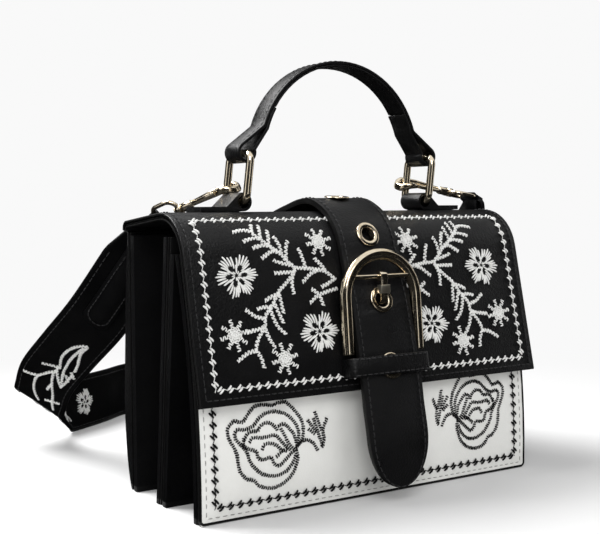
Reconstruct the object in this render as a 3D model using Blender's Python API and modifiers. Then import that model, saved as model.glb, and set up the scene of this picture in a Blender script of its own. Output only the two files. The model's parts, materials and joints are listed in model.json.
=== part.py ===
"""Embroidered satchel: a stiff leather bag with two concertina compartments,
a flap with a belt and buckle, a top handle on two rings, and a shoulder strap
on two snap hooks.

Metres, +Z up. The origin is at the middle of the base, +X is to the right of
the bag and +Y is to its back. The flap is closed and the handle stands up.
"""

import math

import bmesh
import bpy
import numpy as np
from mathutils import Matrix, Vector

# Clearances
GAP = 0.0003               # between pieces that touch
OVERRUN = 0.004            # how far a cutter runs past what it cuts
PIVOT_GAP = 0.0005         # between a ring or a pin and what it turns in

# Leather, board and lining
SHELL = 0.0016             # outer leather
BOARD = 0.0009             # stiffener
LINING = 0.0010            # inner leather
BOARD_INSET = 0.0012       # edge of a board inside the edge of its leather

# Body of the bag
PANEL_WIDTH = 0.225
BACK_HEIGHT = 0.149
FRONT_DROP = 0.011         # top of the front panel below the top of the back
DIVIDER_DROP = 0.002
FRONT_FOOT_Y = -0.0436     # outer face of the front panel at the floor
FRONT_SWELL = 0.0037       # how far the front panel bellies forward
FRONT_LEAN = 0.0211        # how far its top leans back
DIVIDER_FOOT_Y = 0.0037
DIVIDER_LEAN = 0.0145
DIVIDER_WALL = 0.0014
BACK_FRONT_Y = 0.0397      # inner face of the back wall
BACK_BULGE = 0.0096        # the padded back beyond its board
GUSSET = 0.0014
GUSSET_DEPTH = 0.026       # how far each fold reaches in from the sides
GUSSET_SEAM = 0.008        # width of the seam flanges on the walls
LEAF = 0.0025              # width of a gusset's edge strip at the floor
LEAF_TOP = 0.0030          # and at the top

# Flap
FLAP_WIDTH = 0.2302
FLAP_BACK_GAP = 0.0010     # flap's back face behind the back panel's top
FLAP_RISE = 0.0059         # back corner of the flap above the back panel
FLAP_CREST = 0.0134        # front corner above the back panel
FLAP_CREST_FORWARD = 0.0012
FLAP_CREST_RADIUS = 0.028
FLAP_BACK_RADIUS = 0.0045
FLAP_DROP = 0.1004         # free edge of the flap below its front corner
FLAP_STANDOFF = 0.0051     # flap's free edge in front of the front panel

# Belt
BELT_WIDTH = 0.040
BELT = 0.0032
BELT_LIFT = 0.005          # how far the belt arches off the flap
BELT_TAIL = 0.0537         # how far the belt hangs below the flap
BELT_TIP = 0.028           # length of the rounded tip
GROMMET_RADIUS = 0.0074
GROMMET_HOLE = 0.0042
GROMMET_BARREL = 0.0008
GROMMET_FLANGE = 0.0011

# Buckle
BUCKLE_WIRE = 0.0032
BUCKLE_SIDE = 0.0009       # play between the belt and the frame's legs
BUCKLE_TOP_RISE = 0.0715   # top of the frame above the flap's free edge
BUCKLE_FOOT_RISE = 0.0188
BUCKLE_TOP_STANDOFF = 0.0110
BUCKLE_BAR_RISE = 0.0617
BUCKLE_BAR = 0.0014        # radius of the centre bar
BUCKLE_BAR_FORWARD = 0.0022
BASE_BAR_HEIGHT = 0.0055
BASE_BAR = 0.0014
CHAPE_LEATHER = 0.0008
BASE_CHAPE_WIDTH = 0.030
PRONG = 0.0012
PRONG_WIDTH = 0.0044
SLEEVE_HEIGHT = 0.0046
SLEEVE_WALL = 0.0008
SLEEVE_DROP = 0.0070       # middle of the sleeve below the bar

# Keeper
KEEPER = 0.0016
KEEPER_WIDTH = 0.012
KEEPER_SIDE = 0.0072       # how far the keeper reaches past the belt on each side
KEEPER_RISE = 0.0115
KEEPER_BOW = 0.0022
KEEPER_RADIUS = 0.004

# Magnetic snap
MAGNET_RISE = 0.008
MAGNET_RADIUS = 0.007
STUD = 0.0012
SOCKET = 0.0011

# Rings and tabs
RING_X = 0.0645
RING_Y = 0.0028
RING_WIDTH = 0.0236        # between the centre lines of the legs
RING_HEIGHT = 0.0272
RING_WIRE = 0.00225
RING_RADIUS = 0.005
RING_LEAN = math.radians(7)
RING_LIFT = 0.0062         # ring's lower bar above the flap
TAB_WIDTH = 0.018
TAB_LENGTH = 0.0265
TAB_WALL = 0.0015
TAB_END = 0.0036           # thickness of the tab's tail
TAB_ROOM = 0.0015          # between the ring's lower bar and the tab's fold

# Handle
HANDLE_WIDTH = 0.016
HANDLE = 0.0018
HANDLE_FLARE = 0.008       # arch's outer face inside the rings
HANDLE_DROP = 0.0015       # centre of the arch below the rings' top bars
HANDLE_EYE = 0.0042        # inner radius of the loop round a ring

# Snap hooks
HOOK_WIRE = 0.0016
HOOK_HALF = 0.0063         # centre line of the claw's sides
HOOK_PLAY = 0.0007         # between the claw and the ring's leg
HOOK_CORNER = 0.0050       # radius of the claw's corners
HOOK_NOSE = 0.0046
HOOK_SHOULDER = 0.012
HOOK_NECK = 0.027
HOOK_COLLAR = 0.034
COLLAR_RADIUS = 0.0028
COLLAR_WAIST = 0.0021
SWIVEL_LENGTH = 0.0039
POST_RADIUS = 0.0012
POST_HEAD = 0.0021
GATE_WIRE = 0.0012
GATE_PIVOT = 0.0252
GATE_OFFSET = 0.0030
HOOK_ROLL = math.radians(15)
LEFT_HOOK_UP = 0.0085      # along the ring's leg
RIGHT_HOOK_UP = 0.0120
LEFT_HOOK_YAW = math.radians(116.6)
LEFT_HOOK_DIP = math.radians(20)
RIGHT_HOOK_YAW = math.radians(0)
RIGHT_HOOK_DIP = math.radians(9.8)

# Swivel loops
LOOP_WIRE = 0.0015
LOOP_HALF = 0.008
LOOP_REACH = 0.019         # far bar beyond the collar
LOOP_RADIUS = 0.003
LEFT_LOOP_ROLL = math.radians(-47)
RIGHT_LOOP_ROLL = math.radians(0)

# Shoulder strap
STRAP_WIDTH = 0.040
STRAP = 0.0030
STRAP_START = 0.004        # end of the strap below the loop's bar
CHAPE = 0.0012
CHAPE_NECK = 0.010         # chape's width at the bar
CHAPE_WIDTH = 0.018
CHAPE_TAPER = 0.014
CHAPE_FRONT = 0.085
CHAPE_BACK = 0.040
STRAP_REACH = 0.272        # how far the strap lies behind the bag's middle

# Shapes
# The padded back: (share of the height, share of the bulge)
BACK_SHARES = [(0.0, 0.12), (0.017, 0.28), (0.087, 0.61), (0.19, 0.86), (0.34, 1.0),
               (0.62, 0.75), (0.85, 0.51), (0.966, 0.24), (1.0, 0.19)]
# The belt over the flap: (share of the flap's length from its back edge, share of the lift)
BELT_SHARES = [(0.078, 0.12), (0.115, 0.36), (0.175, 0.66), (0.247, 0.98), (0.307, 0.88),
               (0.362, 0.43), (0.422, 0.2), (0.493, 0.12), (0.564, 0.18), (0.645, 0.45),
               (0.726, 0.83), (0.817, 0.92), (0.902, 0.94), (0.963, 1.04)]
# The belt's tail: (share of the tail forward of the flap's free edge, share down)
TAIL_SHARES = [(-0.186, -0.186), (-0.242, -0.447), (-0.279, -0.745), (-0.304, -1.0)]
# Middles of the three upper grommets along the belt's length
GROMMET_SHARES = [0.184, 0.357, 0.530, 0.697]
# The shoulder strap from the left loop to the right one: the middle line as shares of
# (half the panel, the reach, the back's height, the strap's width), then its crosswise direction
LEFT_STRAP_SHARES = [
    ((-0.836, 0.237, 0.933, 0.0), (0.74, 0.0, -0.67)),
    ((-0.907, 0.265, 0.819, 0.0), (0.75, -0.1, -0.65)),
    ((-0.969, 0.368, 0.638, 0.0), (0.75, -0.25, -0.6)),
    ((-1.022, 0.496, 0.477, 0.0), (0.75, -0.25, -0.6)),
    ((-1.076, 0.588, 0.342, 0.0), (0.75, -0.25, -0.6)),
    ((-1.071, 0.646, 0.243, 0.0), (0.8, -0.21, -0.59)),
    ((-1.043, 0.6875, 0.195, 0.0), (0.79, -0.15, -0.6)),
    ((-0.956, 0.7206, 0.128, 0.15), (0.63, 0.0, -0.78)),
    ((-0.858, 0.75, 0.050, 0.36), (0.38, 0.05, -0.92)),
    ((-0.764, 0.774, 0.0, 0.5063), (0.1, 0.02, -0.99))]
FLOOR_STRAP_SHARES = [(-0.471, 0.853), (-0.231, 0.926), (0.178, 0.985), (0.622, 0.926),
                      (0.933, 0.772), (1.102, 0.608)]
# (share of half the panel, shares of the reach and of the rise to the right loop's bar)
RIGHT_STRAP_SHARES = [(1.12, 0.655, 0.099), (1.11, 0.468, 0.291), (1.085, 0.242, 0.477)]
# Crosswise directions there, as the line's own (run, rise)
RIGHT_LEAN_SHARES = [(0.84, 0.16), (0.6, 0.47), (0.31, 0.77)]
RIGHT_TOP_SHARES = (1.071, 0.0, 0.94)

# Colours and finishes
MATERIALS = {
    "black_leather": ((0.018, 0.018, 0.020), 0.48, 0.0),
    "white_leather": ((0.86, 0.85, 0.83), 0.5, 0.0),
    "lining_leather": ((0.03, 0.03, 0.032), 0.7, 0.0),
    "board": ((0.25, 0.22, 0.19), 0.9, 0.0),
    "gold": ((0.80, 0.68, 0.47), 0.22, 1.0),
    "pale_gold": ((0.90, 0.84, 0.70), 0.25, 1.0),
    "strap_leather": ((0.016, 0.016, 0.018), 0.55, 0.0),
}

HALF = PANEL_WIDTH / 2
FRONT_HEIGHT = BACK_HEIGHT - FRONT_DROP
DIVIDER_HEIGHT = BACK_HEIGHT - DIVIDER_DROP
FLAP = SHELL + GAP + BOARD + GAP + LINING
EDGE = GUSSET / 2
BACK_PANEL_Y = BACK_FRONT_Y + LINING + GAP + BOARD + GAP
FLAP_TIP_Z = BACK_HEIGHT + FLAP_CREST - FLAP_DROP
BUCKLE_RADIUS = BELT_WIDTH / 2 + BUCKLE_SIDE + BUCKLE_WIRE
BUCKLE_TOP_Z = FLAP_TIP_Z + BUCKLE_TOP_RISE
BUCKLE_FOOT_Z = FLAP_TIP_Z + BUCKLE_FOOT_RISE
BUCKLE_BAR_Z = FLAP_TIP_Z + BUCKLE_BAR_RISE
KEEPER_HALF = BELT_WIDTH / 2 + KEEPER_SIDE
KEEPER_Z = FLAP_TIP_Z + KEEPER_RISE
MAGNET_Z = FLAP_TIP_Z + MAGNET_RISE


# Helpers
def clear_scene():
    for item in list(bpy.data.objects):
        bpy.data.objects.remove(item, do_unlink=True)


def new_collection(name):
    group = bpy.data.collections.new(name)
    bpy.context.scene.collection.children.link(group)
    return group


def surface(name):
    """A new Principled material for one piece."""
    colour, roughness, metallic = MATERIALS[name]
    made = bpy.data.materials.new(name)
    made.use_nodes = True
    shader = made.node_tree.nodes["Principled BSDF"]
    shader.inputs["Base Color"].default_value = (*colour, 1.0)
    shader.inputs["Roughness"].default_value = roughness
    shader.inputs["Metallic"].default_value = metallic
    return made


def place(name, data, look, group, location=(0, 0, 0), rotation=(0, 0, 0)):
    item = bpy.data.objects.new(name, data)
    item.location = location
    item.rotation_euler = rotation
    group.objects.link(item)
    if look:
        data.materials.append(surface(look))
    return item


def hide(item):
    """Mark an object as a cutter."""
    item.hide_render = True
    item.display_type = "WIRE"
    return item


def offset_path(points, distance):
    """Points of an open path in the plane moved to the right of its direction."""
    path = np.array(points, dtype=float)
    runs = np.diff(path, axis=0)
    runs /= np.linalg.norm(runs, axis=1)[:, None]
    normals = np.stack([runs[:, 1], -runs[:, 0]], axis=1)
    moved = []
    for index, point in enumerate(path):
        before = normals[max(index - 1, 0)]
        after = normals[min(index, len(normals) - 1)]
        mitre = before + after
        mitre /= 1 + float(before @ after)
        moved.append(point + mitre * distance)
    return moved


def band(points, low, high):
    """Closed outline between two offsets of a path."""
    return offset_path(points, low) + offset_path(points, high)[::-1]


def wall(points, low, high):
    """Outline between two offsets of a wall's path, cut level at its foot and its top."""
    sides = []
    for distance in (low, high):
        side = offset_path(points, distance)
        for end, inner in ((0, 1), (-1, -2)):
            run = side[inner] - side[end]
            side[end] = side[end] + run * (points[end][1] - side[end][1]) / run[1]
        sides.append(side)
    return sides[0] + sides[1][::-1]


def rounded(corners, radii, steps=6):
    """Path through corners with the inner ones rounded, in two or three dimensions."""
    path = [np.array(corners[0], dtype=float)]
    for index in range(1, len(corners) - 1):
        path += fillet(corners[index - 1], corners[index], corners[index + 1],
                       radii[index - 1], steps)
    path.append(np.array(corners[-1], dtype=float))
    return path


def fillet(before, corner, after, radius, steps):
    corner = np.array(corner, dtype=float)
    to_before = np.array(before) - corner
    to_after = np.array(after) - corner
    to_before /= np.linalg.norm(to_before)
    to_after /= np.linalg.norm(to_after)
    half = math.acos(max(-1.0, min(1.0, float(to_before @ to_after)))) / 2
    bisector = to_before + to_after
    bisector /= np.linalg.norm(bisector)
    centre = corner + bisector * radius / math.sin(half)
    reach = radius / math.tan(half)
    start = corner + to_before * reach - centre
    end = corner + to_after * reach - centre
    sweep = math.pi - 2 * half
    points = []
    for step in range(steps + 1):
        share = step / steps
        first = math.sin((1 - share) * sweep) / math.sin(sweep)
        second = math.sin(share * sweep) / math.sin(sweep)
        points.append(centre + start * first + end * second)
    return points


def rounded_loop(corners, radius, steps=5):
    """Closed path with every corner rounded alike."""
    path = []
    count = len(corners)
    for index in range(count):
        path += fillet(corners[index - 1], corners[index], corners[(index + 1) % count],
                       radius, steps)
    return path


def smooth(points, steps):
    """Catmull-Rom curve through the points."""
    control = [np.array(point, dtype=float) for point in points]
    control = [2 * control[0] - control[1]] + control + [2 * control[-1] - control[-2]]
    path = []
    for index in range(1, len(control) - 2):
        a, b, c, d = control[index - 1:index + 3]
        for step in range(steps):
            t = step / steps
            path.append(0.5 * (2 * b + (c - a) * t + (2 * a - 5 * b + 4 * c - d) * t ** 2
                               + (3 * b - a - 3 * c + d) * t ** 3))
    path.append(control[-2])
    return path


def arc(centre, radius, start, end, steps):
    """Points on an arc in the plane, angles in degrees."""
    points = []
    for step in range(steps + 1):
        angle = math.radians(start + (end - start) * step / steps)
        points.append(np.array([centre[0] + radius * math.cos(angle),
                                centre[1] + radius * math.sin(angle)]))
    return points


def lengths(path):
    """Distance of each point along a path from its start."""
    runs = np.linalg.norm(np.diff(np.array(path), axis=0), axis=1)
    return np.concatenate([[0.0], np.cumsum(runs)])


def along(path, share):
    """Point and outward normal of a plane path at a share of its length."""
    path = np.array(path)
    distance = lengths(path)
    target = share * distance[-1]
    index = min(int(np.searchsorted(distance, target, side="right")) - 1, len(path) - 2)
    run = path[index + 1] - path[index]
    length = np.linalg.norm(run)
    point = path[index] + run / length * (target - distance[index])
    return point, np.array([run[1], -run[0]]) / length


def at_height(path, z):
    """Y of a wall's face at a height."""
    path = np.array(path)
    order = np.argsort(path[:, 1])
    return float(np.interp(z, path[order, 1], path[order, 0]))


def flat(name, outlines, half, look, group, axis="X", location=(0, 0, 0)):
    """Flat outline, with holes, given half its thickness each way along an axis."""
    data = bpy.data.curves.new(name, "CURVE")
    data.dimensions = "2D"
    data.fill_mode = "BOTH"
    data.extrude = half
    for outline in outlines:
        spline = data.splines.new("POLY")
        spline.points.add(len(outline) - 1)
        for point, target in zip(outline, spline.points):
            target.co = (point[0], point[1], 0, 1)
        spline.use_cyclic_u = True
    turns = {"X": (math.pi / 2, 0, math.pi / 2), "Y": (math.pi / 2, 0, 0), "Z": (0, 0, 0)}
    return place(name, data, look, group, location, turns[axis])


def wire(name, points, radius, look, group, cyclic=False, sides=2):
    """Round wire along points given in the world."""
    data = bpy.data.curves.new(name, "CURVE")
    data.dimensions = "3D"
    data.fill_mode = "FULL"
    data.bevel_depth = radius
    data.bevel_resolution = sides
    data.use_fill_caps = not cyclic
    spline = data.splines.new("POLY")
    spline.points.add(len(points) - 1)
    for point, target in zip(points, spline.points):
        target.co = (*point, 1)
    spline.use_cyclic_u = cyclic
    return place(name, data, look, group)


def as_mesh(item):
    """The same piece as a closed mesh, for a Boolean."""
    graph = bpy.context.evaluated_depsgraph_get()
    graph.update()
    source = item.evaluated_get(graph)
    data = bpy.data.meshes.new_from_object(source, preserve_all_data_layers=True, depsgraph=graph)
    shape = bmesh.new()
    shape.from_mesh(data)
    bmesh.ops.remove_doubles(shape, verts=shape.verts, dist=GAP / 30)
    bmesh.ops.recalc_face_normals(shape, faces=shape.faces)
    shape.to_mesh(data)
    shape.free()
    name = item.name
    group = item.users_collection[0]
    made = bpy.data.objects.new(name + "_solid", data)
    made.matrix_world = item.matrix_world.copy()
    group.objects.link(made)
    bpy.data.objects.remove(item, do_unlink=True)
    made.name = name
    return made


def boolean(item, cutter, operation):
    change = item.modifiers.new(operation.lower(), "BOOLEAN")
    change.operation = operation
    change.solver = "EXACT"
    change.object = cutter
    return item


def sheet(name, rows, thickness, look, group):
    """Open sheet through rows of points, given its thickness half on each side."""
    shape = bmesh.new()
    grid = [[shape.verts.new(point) for point in row] for row in rows]
    for first, second in zip(grid, grid[1:]):
        for index in range(len(first) - 1):
            shape.faces.new((first[index], first[index + 1], second[index + 1], second[index]))
    data = bpy.data.meshes.new(name)
    shape.to_mesh(data)
    shape.free()
    item = place(name, data, look, group)
    skin = item.modifiers.new("thickness", "SOLIDIFY")
    skin.thickness = thickness
    skin.offset = 0
    skin.use_even_offset = True
    return item


def turned(name, profile, look, group, location, direction, steps=24):
    """Closed profile of (radius, height) turned about an axis."""
    shape = bmesh.new()
    verts = [shape.verts.new((radius, 0, height)) for radius, height in profile]
    for first, second in zip(verts, verts[1:]):
        shape.edges.new((first, second))
    if profile[0][0] > 0:
        shape.edges.new((verts[-1], verts[0]))
    data = bpy.data.meshes.new(name)
    shape.to_mesh(data)
    shape.free()
    item = place(name, data, look, group, location)
    item.rotation_euler = Vector(direction).to_track_quat("Z", "Y").to_euler()
    spin = item.modifiers.new("turn", "SCREW")
    spin.steps = steps
    spin.render_steps = steps
    spin.use_merge_vertices = True
    spin.merge_threshold = GAP / 30
    spin.use_smooth_shade = True
    return item


def unit(vector):
    vector = np.array(vector, dtype=float)
    return vector / np.linalg.norm(vector)


clear_scene()
PARTS = new_collection("embroidered_bag")
CUTTERS = new_collection("cutters")

# Front wall
# The front panel's outer face from the floor up, bellied at the foot and leaning back
FRONT_FACE = []
for step in range(9):
    share = step / 8
    FRONT_FACE.append((FRONT_FOOT_Y - FRONT_SWELL * share + FRONT_LEAN * share ** 2,
                       FRONT_HEIGHT * share))
front_depth = SHELL
flat("front_panel", [wall(FRONT_FACE, 0, front_depth)], HALF, "white_leather", PARTS)
board_depth = front_depth + GAP
flat("front_board", [wall(FRONT_FACE, board_depth, board_depth + BOARD)],
     HALF - BOARD_INSET, "board", PARTS)
lining_depth = board_depth + BOARD + GAP
flat("front_lining", [wall(FRONT_FACE, lining_depth, lining_depth + LINING)],
     HALF - GAP, "lining_leather", PARTS)
FRONT_WALL_BACK = wall(FRONT_FACE, 0, lining_depth + LINING)[:len(FRONT_FACE) - 1:-1]

# Divider
DIVIDER_LINE = [(DIVIDER_FOOT_Y, 0), (DIVIDER_FOOT_Y - DIVIDER_LEAN, DIVIDER_HEIGHT)]
divider_half = BOARD / 2 + GAP + DIVIDER_WALL
flat("divider_front_wall", [wall(DIVIDER_LINE, -divider_half, -BOARD / 2 - GAP)],
     HALF - GAP, "lining_leather", PARTS)
flat("divider_board", [wall(DIVIDER_LINE, -BOARD / 2, BOARD / 2)],
     HALF - BOARD_INSET, "board", PARTS)
flat("divider_rear_wall", [wall(DIVIDER_LINE, BOARD / 2 + GAP, divider_half)],
     HALF - GAP, "lining_leather", PARTS)
DIVIDER_FRONT = wall(DIVIDER_LINE, -divider_half, 0)[:2]
DIVIDER_BACK = wall(DIVIDER_LINE, 0, divider_half)[2:]

# Back wall
back_board_y = BACK_FRONT_Y + LINING + GAP
flat("back_lining", [[(BACK_FRONT_Y, 0), (BACK_FRONT_Y + LINING, 0),
                      (BACK_FRONT_Y + LINING, BACK_HEIGHT), (BACK_FRONT_Y, BACK_HEIGHT)]],
     HALF - GAP, "lining_leather", PARTS)
flat("back_board", [[(back_board_y, 0), (back_board_y + BOARD, 0),
                     (back_board_y + BOARD, BACK_HEIGHT), (back_board_y, BACK_HEIGHT)]],
     HALF - BOARD_INSET, "board", PARTS)
back_outline = [(BACK_PANEL_Y + BACK_BULGE * share, BACK_HEIGHT * height)
                for height, share in BACK_SHARES]
back_outline = smooth(back_outline, 3)
flat("back_panel", [[(BACK_PANEL_Y, BACK_HEIGHT), (BACK_PANEL_Y, 0)] + back_outline],
     HALF, "black_leather", PARTS)
BACK_TOP_Y = BACK_PANEL_Y + BACK_BULGE * BACK_SHARES[-1][1]


# Gussets
def gusset(name, front_face, rear_face, top):
    """One concertina: left side, raised base and right side, folded in once."""

    def section(z):
        """Depth and Y of the fold's points at a height."""
        seat = GAP + EDGE
        leaf = LEAF + (LEAF_TOP - LEAF) * z / top
        front = at_height(front_face, z) + seat
        rear = at_height(rear_face, z) - seat
        fold = rear - leaf
        inner = fold - GUSSET - GAP * 2
        return [(GUSSET_SEAM, front), (EDGE, front), (EDGE, front + leaf),
                (GUSSET_DEPTH, inner), (GUSSET_DEPTH, fold), (EDGE, fold),
                (EDGE, rear), (GUSSET_SEAM, rear)]

    count = 7
    rows = []
    for step in range(count + 1):
        z = top - (top - GUSSET_DEPTH - LEAF_TOP) * step / count
        rows.append([(-HALF + depth, y, z) for depth, y in section(z)])
    low = []
    for index, (depth, y) in enumerate(section(0)):
        y = section(depth)[index][1]
        low.append((-HALF + depth, y, depth))
    rows.append(low)
    mirrored = [[(-x, y, z) for x, y, z in row] for row in rows[::-1]]
    return sheet(name, rows + mirrored, GUSSET, "black_leather", PARTS)


gusset("front_gusset", FRONT_WALL_BACK, DIVIDER_FRONT, FRONT_HEIGHT)
gusset("rear_gusset", DIVIDER_BACK, [(BACK_FRONT_Y, 0), (BACK_FRONT_Y, BACK_HEIGHT)],
       DIVIDER_HEIGHT)

# Flap
FLAP_BACK_Y = BACK_TOP_Y + FLAP_BACK_GAP
HINGE_Y = FLAP_BACK_Y + GAP
HINGE_Z = BACK_HEIGHT + GAP
FRONT_TOP_Y = FRONT_FACE[-1][0]
FLAP_TIP_Y = at_height(FRONT_FACE, FLAP_TIP_Z) - FLAP - FLAP_STANDOFF
FLAP_CORNERS = [(FLAP_BACK_Y, HINGE_Z + GAP), (FLAP_BACK_Y, BACK_HEIGHT + FLAP_RISE),
                (FRONT_TOP_Y - FLAP_CREST_FORWARD, BACK_HEIGHT + FLAP_CREST),
                (FLAP_TIP_Y, FLAP_TIP_Z)]
FLAP_FACE = rounded(FLAP_CORNERS, [FLAP_BACK_RADIUS, FLAP_CREST_RADIUS], 10)
FLAP_HALF = FLAP_WIDTH / 2
flat("flap_leather", [band(FLAP_FACE, -SHELL, 0)], FLAP_HALF, "black_leather", PARTS)
flap_board = -SHELL - GAP
board_path = offset_path(FLAP_FACE, flap_board)
tip_run = unit(board_path[-1] - board_path[-2])
board_path[-1] = board_path[-1] - tip_run * BOARD_INSET
flat("flap_board", [band(board_path, -BOARD, 0)], FLAP_HALF - BOARD_INSET, "board", PARTS)
flap_lining = flap_board - BOARD - GAP
flat("flap_lining", [band(FLAP_FACE, flap_lining - LINING, flap_lining)],
     FLAP_HALF - GAP, "lining_leather", PARTS)
FLAP_INSIDE = offset_path(FLAP_FACE, -FLAP)


def flap_at(z):
    """Point and outward normal of the flap's front slope at a height."""
    low = np.array(FLAP_CORNERS[3])
    high = np.array(FLAP_CORNERS[2])
    run = unit(low - high)
    point = high + (low - high) * (high[1] - z) / (high[1] - low[1])
    return point, np.array([run[1], -run[0]])


# Magnetic snap
def disc(name, face, normal, thickness, look):
    """Round disc seated on a sloping face in the middle of the bag."""
    seat = np.array(face) + np.array(normal) * (GAP + thickness / 2)
    shape = bmesh.new()
    bmesh.ops.create_cone(shape, cap_ends=True, segments=24, radius1=MAGNET_RADIUS,
                          radius2=MAGNET_RADIUS, depth=thickness)
    data = bpy.data.meshes.new(name)
    shape.to_mesh(data)
    shape.free()
    item = place(name, data, look, PARTS, (0, seat[0], seat[1]))
    item.rotation_euler = Vector((0, normal[0], normal[1])).to_track_quat("Z", "X").to_euler()
    return item


slope_point, slope_normal = flap_at(MAGNET_Z)
inside_point = slope_point - slope_normal * FLAP
disc("magnet_stud", inside_point, -slope_normal, STUD, "gold")
front_y = at_height(FRONT_FACE, MAGNET_Z)
front_low = at_height(FRONT_FACE, MAGNET_Z - MAGNET_RADIUS)
front_high = at_height(FRONT_FACE, MAGNET_Z + MAGNET_RADIUS)
front_run = unit((front_high - front_low, 2 * MAGNET_RADIUS))
chord_y = (front_low + front_high) / 2
disc("magnet_socket", (min(chord_y, front_y), MAGNET_Z), (-front_run[1], front_run[0]),
     SOCKET, "gold")

# Belt
belt_back = []
for share, lift in BELT_SHARES:
    point, normal = along(FLAP_FACE, share)
    belt_back.append(point + normal * (BELT_LIFT * lift))
tip = np.array(FLAP_CORNERS[3])
for forward, down in TAIL_SHARES:
    belt_back.append(np.array([tip[0] + BELT + BELT_TAIL * forward, tip[1] + BELT_TAIL * down]))
BELT_BACK = smooth(belt_back, 4)
BELT_FACE = offset_path(BELT_BACK, BELT)
belt = flat("belt", [band(BELT_BACK, 0, BELT)], BELT_WIDTH / 2, "black_leather", PARTS)
belt = as_mesh(belt)
belt_low = BELT_FACE[-1][1]
belt_top = HINGE_Z + FLAP_CREST + BELT_LIFT * 3
tip_outline = [(BELT_WIDTH / 2 + OVERRUN, belt_top), (-BELT_WIDTH / 2 - OVERRUN, belt_top),
               (-BELT_WIDTH / 2 - OVERRUN, belt_low + BELT_TIP)]
for step in range(25):
    angle = math.pi + math.pi * step / 24
    tip_outline.append((BELT_WIDTH / 2 * math.cos(angle),
                        belt_low + GAP + BELT_TIP + BELT_TIP * math.sin(angle)))
tip_outline.append((BELT_WIDTH / 2 + OVERRUN, belt_low + BELT_TIP))
tip_cutter = flat("belt_tip_shape", [tip_outline], (FLAP_BACK_Y - FRONT_FOOT_Y) * 2, None,
                  CUTTERS, axis="Y")
tip_cutter = hide(as_mesh(tip_cutter))
boolean(belt, tip_cutter, "INTERSECT")
grommet_seats = []
for index, share in enumerate(GROMMET_SHARES):
    point, normal = along(BELT_FACE, share)
    grommet_seats.append((point, normal))
    direction = (0, normal[0], normal[1])
    barrel = GROMMET_HOLE + GROMMET_BARREL
    lip = (GROMMET_RADIUS - GROMMET_HOLE) / 4
    under = GAP
    over = GAP + GROMMET_FLANGE
    profile = [(GROMMET_HOLE + lip, over), (GROMMET_RADIUS - lip, over),
               (GROMMET_RADIUS, under + GROMMET_FLANGE / 2), (GROMMET_RADIUS, under),
               (barrel, under), (barrel, -BELT), (GROMMET_HOLE, -BELT),
               (GROMMET_HOLE, under + GROMMET_FLANGE / 2)]
    seat = (0, point[0], point[1])
    turned("grommet_%d" % (index + 1), profile, "gold", PARTS, seat, direction)
    room = [(0, OVERRUN), (GROMMET_RADIUS + GAP, OVERRUN), (GROMMET_RADIUS + GAP, 0),
            (barrel + GAP, 0), (barrel + GAP, -OVERRUN - BELT), (0, -OVERRUN - BELT)]
    cutter = turned("grommet_room_%d" % (index + 1), room, None, CUTTERS, seat, direction)
    boolean(belt, hide(cutter), "DIFFERENCE")

# Buckle
foot_point, foot_normal = flap_at(BUCKLE_FOOT_Z)
foot = foot_point + foot_normal * (BUCKLE_WIRE + GAP * 2)
head_point, head_normal = flap_at(BUCKLE_TOP_Z)
head = head_point + head_normal * BUCKLE_TOP_STANDOFF
buckle_up = unit(head - foot)
buckle_tall = float(np.linalg.norm(head - foot))


def on_buckle(x, along_up, forward=0.0):
    """World point at a width and a height up the buckle's plane."""
    y, z = foot + buckle_up * along_up
    return (x, y - forward * buckle_up[1], z + forward * buckle_up[0])


arch = [(-BUCKLE_RADIUS, 0)]
arch += [(point[0], point[1]) for point in
         arc((0, buckle_tall - BUCKLE_RADIUS), BUCKLE_RADIUS, 180, 0, 20)]
arch.append((BUCKLE_RADIUS, 0))
frame = wire("buckle_frame", [on_buckle(x, up) for x, up in arch], BUCKLE_WIRE, "gold",
             PARTS, sides=3)
frame = as_mesh(frame)
bar_up = (BUCKLE_BAR_Z - foot[1]) / buckle_up[1]
bar_reach = math.sqrt(BUCKLE_RADIUS ** 2 - (bar_up - buckle_tall + BUCKLE_RADIUS) ** 2)
bar = wire("buckle_bar_shape", [on_buckle(-bar_reach, bar_up, BUCKLE_BAR_FORWARD / 2),
                                on_buckle(bar_reach, bar_up, BUCKLE_BAR_FORWARD / 2)],
           BUCKLE_BAR, None, CUTTERS, sides=3)
boolean(frame, hide(as_mesh(bar)), "UNION")
BAR_CENTRE = on_buckle(0, bar_up, BUCKLE_BAR_FORWARD / 2)

# Flat bar between the buckle's feet, under the belt, and the leather that holds it down
base_point, base_normal = flap_at(BUCKLE_FOOT_Z)
base_up = np.array([-base_normal[1], base_normal[0]])
if base_up[1] < 0:
    base_up = -base_up


def on_slope(up, out):
    """Point on the flap's front slope, measured from the buckle's feet."""
    return base_point + base_up * up + base_normal * out


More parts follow.
